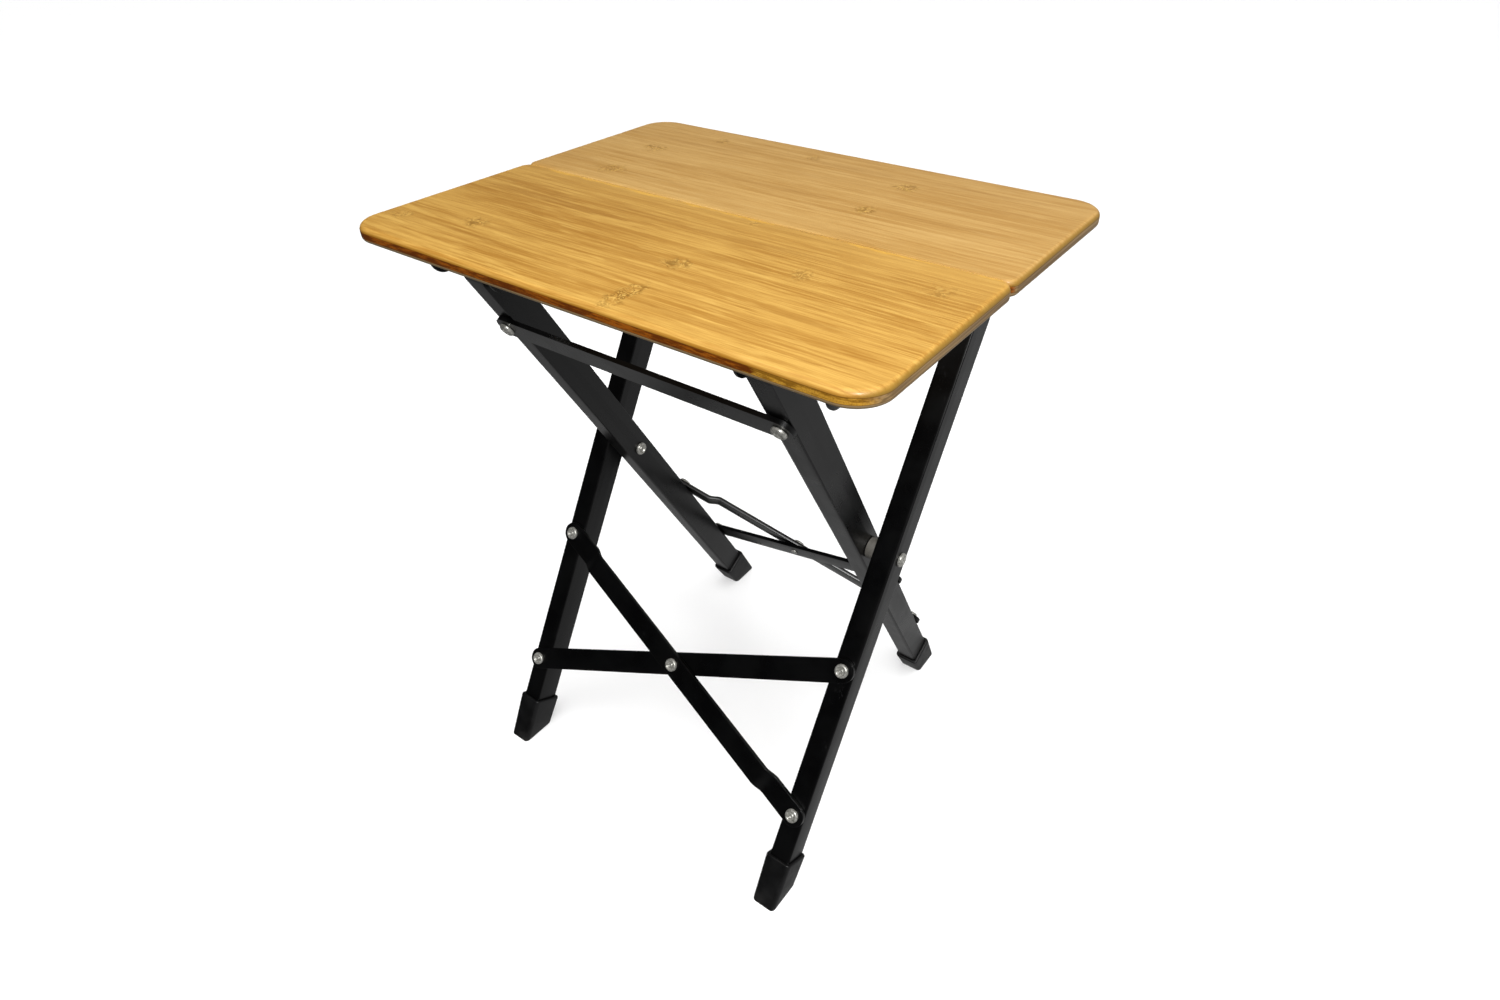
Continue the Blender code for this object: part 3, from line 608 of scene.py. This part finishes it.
def loft(sections):
    """A closed skin through rings that match point to point."""
    bm = bmesh.new()
    rings = [[bm.verts.new(point) for point in section] for section in sections]
    for lower, upper in zip(rings, rings[1:]):
        for i in range(len(lower)):
            j = (i + 1) % len(lower)
            bm.faces.new((lower[i], lower[j], upper[j], upper[i]))
    bm.faces.new(reversed(rings[0]))
    bm.faces.new(rings[-1])
    return bm


def prism(outline, low, high, edge=0.0, steps=2):
    """An outline in XY raised along Z, its two rims rounded by edge."""
    bm = loft([[(x, y, z) for x, y in outline] for z in (low, high)])
    if edge:
        round_rims(bm, edge, steps, low, high)
    return bm


def round_rims(bm, edge, steps, low, high):
    rims = [e for e in bm.edges if any(
        all(abs(v.co.z - level) < MERGE for v in e.verts) for level in (low, high))]
    bmesh.ops.bevel(bm, geom=rims, offset=edge, segments=steps, profile=0.5,
                    affect="EDGES", clamp_overlap=True)


def rod(radius, low, high, axes, sides=28):
    """A cutter: a cylinder along the given axes' Z."""
    bm = prism(arc((0, 0), radius, 0, 360 * (sides - 1) / sides, sides - 1), low, high)
    bm.transform(axes)
    return bm


def block(low, high, axes):
    bm = prism([(low[0], low[1]), (high[0], low[1]), (high[0], high[1]), (low[0], high[1])],
               low[2], high[2])
    bm.transform(axes)
    return bm


def lathe(profile, sides=44):
    """Turns a profile of radius and height about Z; its ends may lie on the axis."""
    bm = bmesh.new()
    rings = []
    for radius, height in profile:
        count = 1 if radius < MERGE else sides
        rings.append([bm.verts.new((radius * math.cos(math.tau * i / sides),
                                    radius * math.sin(math.tau * i / sides), height))
                      for i in range(count)])
    for upper, lower in zip(rings, rings[1:]):
        for i in range(sides):
            j = (i + 1) % sides
            corners = [upper[i % len(upper)], lower[i % len(lower)],
                       lower[j % len(lower)], upper[j % len(upper)]]
            corners = [v for k, v in enumerate(corners) if v not in corners[:k]]
            if len(corners) > 2:
                bm.faces.new(corners)
    return bm


# -------------------------------- planks

def plank_ring(box, side, height, inset, butt_inset):
    """A plank's outline at one height; the butt edge is eased less than the others."""
    half = box[1].x - inset
    ends = sorted((abs(box[0].y), abs(box[1].y)))
    near = ends[0] + butt_inset
    far = ends[1] - inset
    outer = OUTER_CORNER - inset
    inner = INNER_CORNER - butt_inset
    points = arc((half - outer, far - outer), outer, 0, 90, 18)
    points += arc((-half + outer, far - outer), outer, 90, 180, 18)
    points += arc((-half + inner, near + inner), inner, 180, 270, 10)
    points += arc((half - inner, near + inner), inner, 270, 360, 10)
    return [(x, side * y, height) for x, y in points]


def add_plank(name, side, body, finish):
    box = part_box(name)
    low, high = box[0].z, box[1].z
    sections = []
    for step in range(9):
        angle = math.pi / 2 * step / 8
        short = 1 - math.sin(angle)
        sections.append(plank_ring(box, side, low + BOTTOM_ROUND * (1 - math.cos(angle)),
                                   BOTTOM_ROUND * short, BUTT_EASE * short))
    for step in range(11):
        angle = math.pi / 2 * step / 10
        short = 1 - math.cos(angle)
        sections.append(plank_ring(box, side, high - TOP_ROUND * (1 - math.sin(angle)),
                                   TOP_ROUND * short, BUTT_EASE * short))
    add_piece(name, loft(sections), finish, body, degrees=60)


# -------------------------------- legs and feet

def add_leg(name, body, axes, holes):
    """A tube with a rounded top and open ends, drilled for its rivets and pins."""
    low, high, middle = node_box(name, axes)
    half_width = (high.x - low.x) / 2
    face = (high.y - low.y) / 2
    pin = high.z - face
    outline = arc((0, pin), face, 0, 180, 28) + [(-face, low.z), (face, low.z)]
    bm = prism(outline, -half_width, half_width, TUBE_CORNER, 5)
    bm.transform(Matrix(((0, 0, 1, middle.x), (1, 0, 0, 0), (0, 1, 0, 0), (0, 0, 0, 1))))
    inner_x = half_width - TUBE_WALL
    inner_y = face - TUBE_WALL
    cavity = prism(rounded(inner_x, inner_y, TUBE_WALL / 2, 4), low.z - PAST, high.z + PAST)
    cavity.transform(at(middle.x, 0, 0))
    cutters = [cavity]
    for along in (pin, 0):
        cutters.append(rod(PIN_RADIUS + HOLE_ROOM, -2 * half_width, 2 * half_width,
                           turned_to(ACROSS, (middle.x, 0, along))))
    for along, side in holes:
        cutters.append(rod(RIVET_SHANK + HOLE_ROOM, face - 2 * TUBE_WALL, face + PAST,
                           turned_to((0, side, 0), (middle.x, 0, along))))
    add_piece(name, carve(bm, cutters), "powder_coat", body, axes)


def add_foot(name, body, axes):
    """A moulded boot over the tube's end: tapered, soft-rimmed, its sole level on the floor."""
    low, high, middle = node_box(name, axes)
    half_x = (high.x - low.x) / 2
    half_y = (high.y - low.y) / 2
    sole_end = low.z - PAST
    length = high.z - sole_end
    sections = []
    for drop, inset in ((length, FOOT_TAPER), (0.5 * length, 0.5 * FOOT_TAPER),
                        (3 * FOOT_LIP, 0.06 * FOOT_TAPER), (FOOT_LIP, 0.0)):
        sections.append([(x, y, high.z - drop) for x, y in rounded(
            half_x - inset, half_y - inset, FOOT_CORNER, 8)])
    for step in range(1, 6):
        angle = math.pi / 2 * step / 5
        inset = FOOT_LIP * (1 - math.cos(angle))
        height = high.z - FOOT_LIP * (1 - math.sin(angle))
        sections.append([(x, y, height) for x, y in rounded(
            half_x - inset, half_y - inset, FOOT_CORNER - inset, 8)])
    bm = loft(sections)
    bm.transform(at(middle.x, 0, 0))
    leg_low, leg_high, _ = node_box(name.replace("_foot", "_leg"), axes)
    pocket = prism(rounded((leg_high.x - leg_low.x) / 2 + TUBE_ROOM,
                           (leg_high.y - leg_low.y) / 2 + TUBE_ROOM,
                           TUBE_CORNER + TUBE_ROOM, 5), leg_low.z - TUBE_ROOM, high.z + PAST)
    pocket.transform(at(middle.x, 0, 0))
    reach = 40 * MM
    ground = block((middle.x - reach, -6 * reach, -reach), (middle.x + reach, 6 * reach, 0),
                   axes.inverted())
    bm = carve(bm, [pocket, ground])
    on_floor = [e for e in bm.edges if all(abs((axes @ v.co).z) < 0.01 * MM for v in e.verts)
                and len(e.link_faces) == 2 and e.calc_face_angle() > 0.5]
    bmesh.ops.bevel(bm, geom=on_floor, offset=FOOT_SOLE_EDGE, segments=3, profile=0.5,
                    affect="EDGES", clamp_overlap=True)
    add_piece(name, bm, "rubber", body, axes)


# -------------------------------- rivets and pins

def head_profile(radius, height):
    """A set rivet's head, middle to seat: a dimpled button, a groove and a domed rim."""
    button = [(0.0, 0.66), (0.06, 0.67), (0.12, 0.74), (0.18, 0.84), (0.25, 0.88), (0.32, 0.84),
              (0.37, 0.72), (0.40, 0.58)]
    groove = [(0.43, 0.50), (0.48, 0.49), (0.52, 0.56)]
    rim = [(0.56, 0.72), (0.61, 0.88), (0.67, 0.97), (0.74, 1.0), (0.82, 0.96), (0.90, 0.84),
           (0.96, 0.66), (0.99, 0.46), (1.0, 0.26), (0.995, 0.10), (0.97, 0.0)]
    return [(r * radius, h * height) for r, h in button + groove + rim]


def roughen(bm, radius, seed):
    """Lifts and sinks the middle of a head by noise, less towards its rim."""
    for vertex in bm.verts:
        away = math.hypot(vertex.co.x, vertex.co.y) / radius
        if vertex.co.z > 0 and away < 0.8:
            place = Vector((vertex.co.x, vertex.co.y, seed * radius)) / (1.1 * MM)
            vertex.co.z += ROUGH_HEAD * noise.noise(place) * (1 - away / 0.8) * 2


def rivet_body(radius, grip, shank, tail, tail_height, seed):
    """A rivet with its head above zero and its shank, and any tail, below."""
    profile = head_profile(radius, HEAD_HEIGHT) + [(shank + 0.1 * MM, 0), (shank, -0.1 * MM)]
    if tail:
        end = -grip - tail_height
        edge = 0.3 * tail_height
        profile += [(shank, -grip), (tail - edge, -grip), (tail, -grip - edge),
                    (tail, end + 1.6 * edge), (tail - edge, end + 0.5 * edge),
                    (tail - 2.4 * edge, end), (0, end)]
    else:
        profile += [(shank, -grip), (0, -grip)]
    bm = lathe(profile)
    roughen(bm, radius, seed)
    return bm


def add_rivet(name, body, axes, direction, shank, tail, tail_height, seed):
    """A rivet in its CAD node's place; its head lies towards the direction."""
    low, high, middle = node_box(name, axes)
    direction = Vector(direction)
    lengthwise = max(range(3), key=lambda i: abs(direction[i]))
    radius = (high - low)[(lengthwise + 1) % 3] / 2
    whole = (high - low)[lengthwise]
    seat = middle.copy()
    seat[lengthwise] += direction[lengthwise] * (whole / 2 - HEAD_HEIGHT)
    grip = whole - HEAD_HEIGHT - tail_height
    add_piece(name, rivet_body(radius, grip, shank, tail, tail_height, seed), "rivet_steel",
              body, axes @ turned_to(direction, seat))


# -------------------------------- strips and bar

def strip_sections(length, lift):
    """Sections of a flat strip with round ends and eased edges; lift raises its middle."""
    radius = STRIP_WIDTH / 2
    ends = [radius * (1 - math.sin(math.radians(90 * (1 - step / 14)))) for step in range(15)]
    stations = [(place - radius, math.sqrt(max(radius ** 2 - (radius - place) ** 2, 0)), 0)
                for place in ends[1:]]
    if lift:
        for step in range(13):
            share = step / 12
            stations.append((JOGGLE_START + JOGGLE_RUN * share, radius,
                             lift * share * share * (3 - 2 * share)))
    mirrored = [(length - place, half, up) for place, half, up in reversed(stations)]
    sections = []
    for place, half, up in stations + mirrored:
        edge = min(STRIP_EDGE, 0.45 * half)
        sections.append([(place, y, up + z) for y, z in rounded(half, STRIP_THICK / 2, edge, 3)])
    return sections


def add_strip(name, body, axes, face, first, last, joggled, over=0.0):
    """A strip between two riveted ends on a frame's face."""
    start = node_box(first, axes)[2]
    end = node_box(last, axes)[2]
    leg_box = node_box(first.split("_brace")[0] + "_left_leg", axes)
    level = leg_box[1].y if face > 0 else leg_box[0].y
    level += face * (HOLE_ROOM + STRIP_THICK / 2)
    start.y = end.y = level
    ahead = (end - start).normalized()
    across = Vector((0, face, 0))
    turn = Matrix((ahead, across.cross(ahead), across)).transposed().to_4x4()
    bm = loft(strip_sections((end - start).length, over if joggled else 0))
    bm.transform(Matrix.Translation(start) @ turn)
    cutters = [rod(RIVET_SHANK + HOLE_ROOM, -8 * STRIP_THICK, 8 * STRIP_THICK,
                   turned_to(across, start + (end - start) * share)) for share in (0, 0.5, 1)]
    add_piece(name, carve(bm, cutters), "powder_coat", body, axes)


def add_bar(name, body, axes):
    """The flat bar across the inner legs, round-ended and with eased edges."""
    low, high, middle = node_box(name, axes)
    radius = (high.z - low.z) / 2
    reach = high.x - radius
    outline = arc((reach, 0), radius, -90, 90, 24) + arc((-reach, 0), radius, 90, 270, 24)
    half = (high.y - low.y) / 2
    bm = prism(outline, -half, half, BAR_EDGE, 4)
    bm.transform(turned_to((0, -1, 0), middle))
    cutters = [rod(RIVET_SHANK + HOLE_ROOM, -3 * half, 3 * half,
                   turned_to((0, -1, 0), (side * reach, middle.y, middle.z)))
               for side in (-1, 1)]
    add_piece(name, carve(bm, cutters), "powder_coat", body, axes)


# -------------------------------- spacers

def add_spacer(name, body):
    """A nylon ring along X with eased rims and a bore for its pin."""
    low, high, middle = node_box(name)
    radius = (high.z - low.z) / 2
    half = (high.x - low.x) / 2
    bore = PIN_RADIUS + HOLE_ROOM
    ease = 0.35 * MM
    ring = []
    for r, z, start in ((radius - ease, half - ease, 90), (radius - ease, -half + ease, 0),
                        (bore + ease, -half + ease, -90), (bore + ease, half - ease, -180)):
        ring += arc((r, z), ease, start, start - 90, 4)
    bm = bmesh.new()
    sides = 56
    loops = [[bm.verts.new((r * math.cos(math.tau * i / sides), r * math.sin(math.tau * i / sides),
                            z)) for r, z in ring] for i in range(sides)]
    for i in range(sides):
        near, far = loops[i], loops[(i + 1) % sides]
        for k in range(len(ring)):
            m = (k + 1) % len(ring)
            bm.faces.new((near[k], near[m], far[m], far[k]))
    add_piece(name, bm, "spacer_plastic", body, turned_to(ACROSS, middle))


# -------------------------------- brackets and screws

def countersunk_screw(head, depth, shank, length):
    """A flush screw with a crossed recess; its head faces up at zero."""
    profile = [(0, 0), (0.45 * head, 0), (head - 0.15 * MM, 0), (head, -0.12 * MM),
               (head, -0.25 * MM), (shank, -depth), (shank, -length), (0.3 * shank,
                                                                       -length - shank),
               (0, -length - 1.2 * shank)]
    long, wide, deep = 0.62 * head, 0.13 * head, 0.55 * depth
    cross = []
    for first, second in ((long, wide), (wide, long)):
        tip = 0.45
        cross.append(loft([[(x * first * tip, y * second * tip, -deep) for x, y in
                            ((-1, -1), (1, -1), (1, 1), (-1, 1))],
                           [(x * first, y * second, 0.2 * MM) for x, y in
                            ((-1, -1), (1, -1), (1, 1), (-1, 1))]]))
    return carve(lathe(profile, 32), cross)


def add_screws(name, body, finish, places, direction, head, depth, shank, length):
    """A set of flush screws as one piece."""
    whole = bmesh.new()
    for number, place in enumerate(places):
        screw = countersunk_screw(head, depth, shank, length)
        screw.transform(turned_to(direction, place) @ Matrix.Rotation(0.9 * number + 0.3, 4, "Z"))
        mesh = bpy.data.meshes.new("screw")
        screw.to_mesh(mesh)
        screw.free()
        whole.from_mesh(mesh)
        bpy.data.meshes.remove(mesh)
    add_piece(name, whole, finish, body, stands_for=False)


def countersink(place, direction, radius, depth, hole):
    """A cutter for a countersunk hole whose wide end is at a place."""
    top = 0.05 * MM
    bm = lathe([(0, top), (radius + top, top), (hole, -depth), (hole, -12 * MM), (0, -12 * MM)],
               32)
    bm.transform(turned_to(direction, place))
    return bm


def add_bracket(prefix, body, pin):
    """A U of bent sheet under a plank, with rounded ears for the pin, and its two screws."""
    name = prefix + "_bracket"
    low, high, middle = node_box(name)
    half_x = (high.x - low.x) / 2
    half_y = (high.y - low.y) / 2
    inner_bend = BRACKET_BEND - BRACKET_THICK
    right = arc((half_x - BRACKET_BEND, -BRACKET_BEND), BRACKET_BEND, 90, 0, 8)
    left = [(-x, z) for x, z in reversed(right)]
    inside_right = arc((half_x - BRACKET_BEND, -BRACKET_BEND), inner_bend, 0, 90, 6)
    inside_left = [(-x, z) for x, z in reversed(inside_right)]
    drop = high.z - low.z + PAST
    profile = ([(-half_x, -drop)] + left + right + [(half_x, -drop),
                                                    (half_x - BRACKET_THICK, -drop)]
               + inside_right + inside_left + [(-half_x + BRACKET_THICK, -drop)])
    sheet = prism(profile, -half_y, half_y)
    sheet.transform(Matrix(((1, 0, 0, middle.x), (0, 0, 1, pin.y), (0, 1, 0, high.z),
                            (0, 0, 0, 1))))
    shoulder = high.z - pin.z - BRACKET_BEND
    ears = [(half_y, high.z - pin.z + PAST), (-half_y, high.z - pin.z + PAST),
            (-half_y, shoulder)]
    ears += arc((0, 0), EAR_RADIUS, 197, 343, 30) + [(half_y, shoulder)]
    side_view = prism(ears, -half_x - PAST, half_x + PAST)
    side_view.transform(Matrix(((0, 0, 1, middle.x), (1, 0, 0, pin.y), (0, 1, 0, pin.z),
                                (0, 0, 0, 1))))
    bracket = carve(sheet, [side_view], "INTERSECT")
    bmesh.ops.dissolve_limit(bracket, angle_limit=math.radians(0.5), verts=bracket.verts,
                             edges=bracket.edges)
    sharp = [e for e in bracket.edges if len(e.link_faces) == 2
             and e.calc_face_angle() > math.radians(50)]
    bmesh.ops.bevel(bracket, geom=sharp, offset=BRACKET_EDGE, segments=2, profile=0.5,
                    affect="EDGES", clamp_overlap=True)
    under = high.z - BRACKET_THICK
    places = [Vector((middle.x + share * half_x / 2, pin.y, under)) for share in (-1, 1)]
    cutters = [rod(PIN_RADIUS + HOLE_ROOM, -2 * half_x, 2 * half_x,
                   turned_to(ACROSS, (middle.x, pin.y, pin.z)))]
    cutters += [countersink(place, -UP, *BRACKET_SINK) for place in places]
    add_piece(name, carve(bracket, cutters), "powder_coat", body)
    add_screws(prefix + "_bracket_screws", body, "rivet_steel",
               [place + UP * 0.1 * MM for place in places], -UP, *BRACKET_SCREW)


# -------------------------------- hinges

def add_leaf(name, body, side, knuckles, centre):
    """A pressed leaf: a plate with rounded corners whose tongues curl round the hinge pin."""
    low, high, middle = node_box(name)
    half = (high.x - low.x) / 2
    reach = max(abs(low.y), abs(high.y))
    near = BARREL_RADIUS + 0.6 * MM
    level = high.z - HINGE_THICK / 2
    outline = rounded(half, (reach - near) / 2, LEAF_CORNER, 6)
    plate = prism(outline, -HINGE_THICK / 2, HINGE_THICK / 2, LEAF_EDGE, 2)
    plate.transform(at(middle.x, side * (reach + near) / 2, level))
    curls = []
    for start, end in knuckles:
        top = high.z - centre.z
        under = top - HINGE_THICK
        bore = HINGE_PIN + HOLE_ROOM
        outer = arc((0, 0), BARREL_RADIUS, 90, 395, 36)
        inner = arc((0, 0), bore, 395, 90, 24)
        curl = prism(outer + inner, start, end)
        curl.transform(Matrix(((0, 0, 1, middle.x), (-side, 0, 0, 0), (0, 1, 0, centre.z),
                               (0, 0, 0, 1))))
        tongue = [(0, bore), (near + PAST, under), (near + PAST, top), (0, BARREL_RADIUS)]
        tongue = prism(tongue, start, end)
        tongue.transform(Matrix(((0, 0, 1, middle.x), (side, 0, 0, 0), (0, 1, 0, centre.z),
                                 (0, 0, 0, 1))))
        curls += [curl, tongue]
    leaf = carve(plate, curls, "UNION")
    under = level - HINGE_THICK / 2
    hole_y = side * 0.62 * reach
    places = [Vector((middle.x + share * 2 * half, hole_y, under)) for share in (-0.33, 0, 0.33)]
    cutters = [countersink(place, -UP, *LEAF_SINK) for place in places]
    add_piece(name, carve(leaf, cutters), "hinge_steel", body)
    add_screws(name + "_screws", body, "rivet_steel", [place + UP * 0.1 * MM for place in places],
               -UP, *LEAF_SCREW)


def add_hinge_pin(name, body):
    """A slim pin with a small domed head at each end."""
    low, high, middle = node_box(name)
    half = (high.x - low.x) / 2
    thick = 1.0 * MM
    dome = [(math.sin(math.radians(a)) * HINGE_HEAD, half - thick + thick * math.cos(
        math.radians(a))) for a in (0, 18, 36, 54, 72, 90)]
    upper = dome + [(HINGE_PIN, half - thick)]
    lower = [(r, -z) for r, z in reversed(upper)]
    add_piece(name, lathe(upper + lower, 32), "hinge_steel", body, turned_to(ACROSS, middle))


# -------------------------------- assembly

def brace_holes(prefix, axes, face):
    return [(node_box(f"{prefix}_brace_left_{level}_rivet", axes)[2].z, face)
            for level in ("high", "low")]


def add_frame(prefix, body, axes, face, more_holes):
    """A pair of legs with their feet and crossed strips."""
    holes = brace_holes(prefix, axes, face) + more_holes
    for side, side_name in SIDES:
        add_leg(f"{prefix}_{side_name}_leg", body, axes, holes)
        add_foot(f"{prefix}_{side_name}_foot", body, axes)
        for number, level in enumerate(("high", "low")):
            add_rivet(f"{prefix}_brace_{side_name}_{level}_rivet", body, axes, (0, face, 0),
                      RIVET_SHANK, RIVET_TAIL, TAIL_HEIGHT, side * (number + 2) + face * 7)
    add_rivet(f"{prefix}_brace_centre_rivet", body, axes, (0, face, 0), RIVET_SHANK, RIVET_TAIL,
              TAIL_HEIGHT, 11 + face)
    name = prefix + "_brace_{}_{}_rivet"
    add_strip(prefix + "_straight_strip", body, axes, face, name.format("left", "low"),
              name.format("right", "high"), False)
    add_strip(prefix + "_joggled_strip", body, axes, face, name.format("left", "high"),
              name.format("right", "low"), True, STRIP_THICK + 2 * HOLE_ROOM)


def build():
    add_plank("front_plank", -1, "front_top", "front_bamboo")
    add_plank("back_plank", 1, "back_top", "back_bamboo")
    bar_along = node_box("cross_bar", INNER)[2].z
    add_frame("outer", "outer_legs", OUTER, -1, [])
    add_frame("inner", "inner_legs", INNER, 1, [(bar_along, -1)])
    add_bar("cross_bar", "inner_legs", INNER)
    for side, side_name in SIDES:
        add_rivet(f"cross_bar_{side_name}_rivet", "inner_legs", INNER, (0, -1, 0), RIVET_SHANK,
                  RIVET_TAIL, TAIL_HEIGHT, 21 + side)
        add_rivet(side_name + "_pivot_outer_rivet", "outer_legs", OUTER, (side, 0, 0),
                  PIN_RADIUS, 0, 0, 25 + side)
        add_rivet(side_name + "_pivot_inner_rivet", "inner_legs", INNER, (-side, 0, 0),
                  PIN_RADIUS, 0, 0, 28 + side)
        add_spacer(side_name + "_pivot_spacer", "outer_legs")
        for place, body, pin in (("front", "front_top", FRONT_PIN), ("back", "back_top",
                                                                     BACK_PIN)):
            prefix = f"{place}_{side_name}"
            add_bracket(prefix, body, pin)
            add_rivet(prefix + "_pin", body, NO_TURN, (side, 0, 0), PIN_RADIUS,
                      PIN_TAIL, PIN_TAIL_HEIGHT, 31 + side)
            for spacer in ("inner", "outer"):
                add_spacer(f"{prefix}_{spacer}_spacer", body)
        hinge = side_name + "_hinge"
        low, high, _ = node_box(hinge + "_front_leaf")
        half = (high.x - low.x) / 2
        third = half / 3
        add_leaf(hinge + "_back_leaf", "back_top", 1,
                 ((-half, -third - HOLE_ROOM), (third + HOLE_ROOM, half)), SEAM)
        add_leaf(hinge + "_front_leaf", "front_top", -1, ((-third, third),), SEAM)
        add_hinge_pin(hinge + "_pin", "back_top")


# -------------------------------- stage, light and camera

FLOOR_SIZE = 30
FLOOR_DROP = 0.2 * MM
FLOOR_WHITE = (0.93, 0.93, 0.93, 1)
BRIGHTEST_WAY = (0.35, 0.45, -0.82)
WORLD_DIM, WORLD_BRIGHT = 0.02, 0.38
OVERHEAD, FILL, PANEL = 2.6, 0.9, 21
PANEL_WIDTH, PANEL_HEIGHT = 0.38, 0.24
LENS, SENSOR = 21.58, 36
CLIP_START = 10 * MM
CAMERA_PLACE = (0.31753, -0.41303, 0.60263)
CAMERA_TURN = (0.92815, 0.00880, 0.63213)


def add_stage():
    """A plain white floor that fills the view."""
    bpy.ops.mesh.primitive_plane_add(size=FLOOR_SIZE, location=(0, 0, -FLOOR_DROP))
    floor = bpy.context.object
    floor.name = "floor"
    graph = Graph("floor_white")
    graph.shade(Base_Color=FLOOR_WHITE, Roughness=0.9, Specular_IOR_Level=0.1)
    floor.data.materials.append(graph.material)
    floor.visible_glossy = False
    floor.visible_diffuse = False


def add_light(name, kind, place, aim, energy, **settings):
    data = bpy.data.lights.new(name, kind)
    data.energy = energy
    for key, value in settings.items():
        setattr(data, key, value)
    light = bpy.data.objects.new(name, data)
    light.location = place
    direction = Vector(aim) - Vector(place)
    light.rotation_euler = direction.to_track_quat("-Z", "Y").to_euler()
    bpy.context.scene.collection.objects.link(light)
    return light


def add_world():
    """Soft surroundings, brightest low down behind and to the right."""
    world = bpy.data.worlds.new("studio")
    world.use_nodes = True
    bpy.context.scene.world = world
    nodes, links = world.node_tree.nodes, world.node_tree.links
    background = nodes["Background"]
    place = nodes.new("ShaderNodeTexCoord")
    toward = nodes.new("ShaderNodeVectorMath")
    toward.operation = "DOT_PRODUCT"
    toward.inputs[1].default_value = BRIGHTEST_WAY
    links.new(place.outputs["Generated"], toward.inputs[0])
    spread = nodes.new("ShaderNodeMapRange")
    spread.interpolation_type = "SMOOTHSTEP"
    for socket, value in (("From Min", -0.5), ("From Max", 1.0), ("To Min", WORLD_DIM),
                          ("To Max", WORLD_BRIGHT)):
        spread.inputs[socket].default_value = value
    links.new(toward.outputs["Value"], spread.inputs["Value"])
    links.new(spread.outputs["Result"], background.inputs["Strength"])
    background.inputs["Color"].default_value = (1.0, 1.0, 1.0, 1.0)


def add_lights():
    """A broad overhead light, with a weak fill and a window-like panel from the front right."""
    key = add_light("overhead", "SUN", (0.3, -0.35, 2.0), (0, 0, 0), OVERHEAD,
                    angle=math.radians(80))
    fill = add_light("fill", "SUN", (0.5, -0.7, 1.6), (0, 0, 0), FILL, angle=math.radians(90),
                     use_shadow=False)
    for sun in (key, fill):
        sun.visible_glossy = False
    add_light("panel", "AREA", (0.75, -0.75, 1.35), (0, 0, 0.4), PANEL, shape="RECTANGLE",
              size=PANEL_WIDTH, size_y=PANEL_HEIGHT, use_shadow=False)


def add_camera():
    data = bpy.data.cameras.new("camera")
    data.lens = LENS
    data.sensor_width = SENSOR
    data.clip_start = CLIP_START
    camera = bpy.data.objects.new("camera", data)
    camera.location = CAMERA_PLACE
    camera.rotation_euler = CAMERA_TURN
    bpy.context.scene.collection.objects.link(camera)
    bpy.context.scene.camera = camera


build()
add_stage()
add_world()
add_lights()
add_camera()
bpy.context.scene.view_settings.view_transform = "Standard"
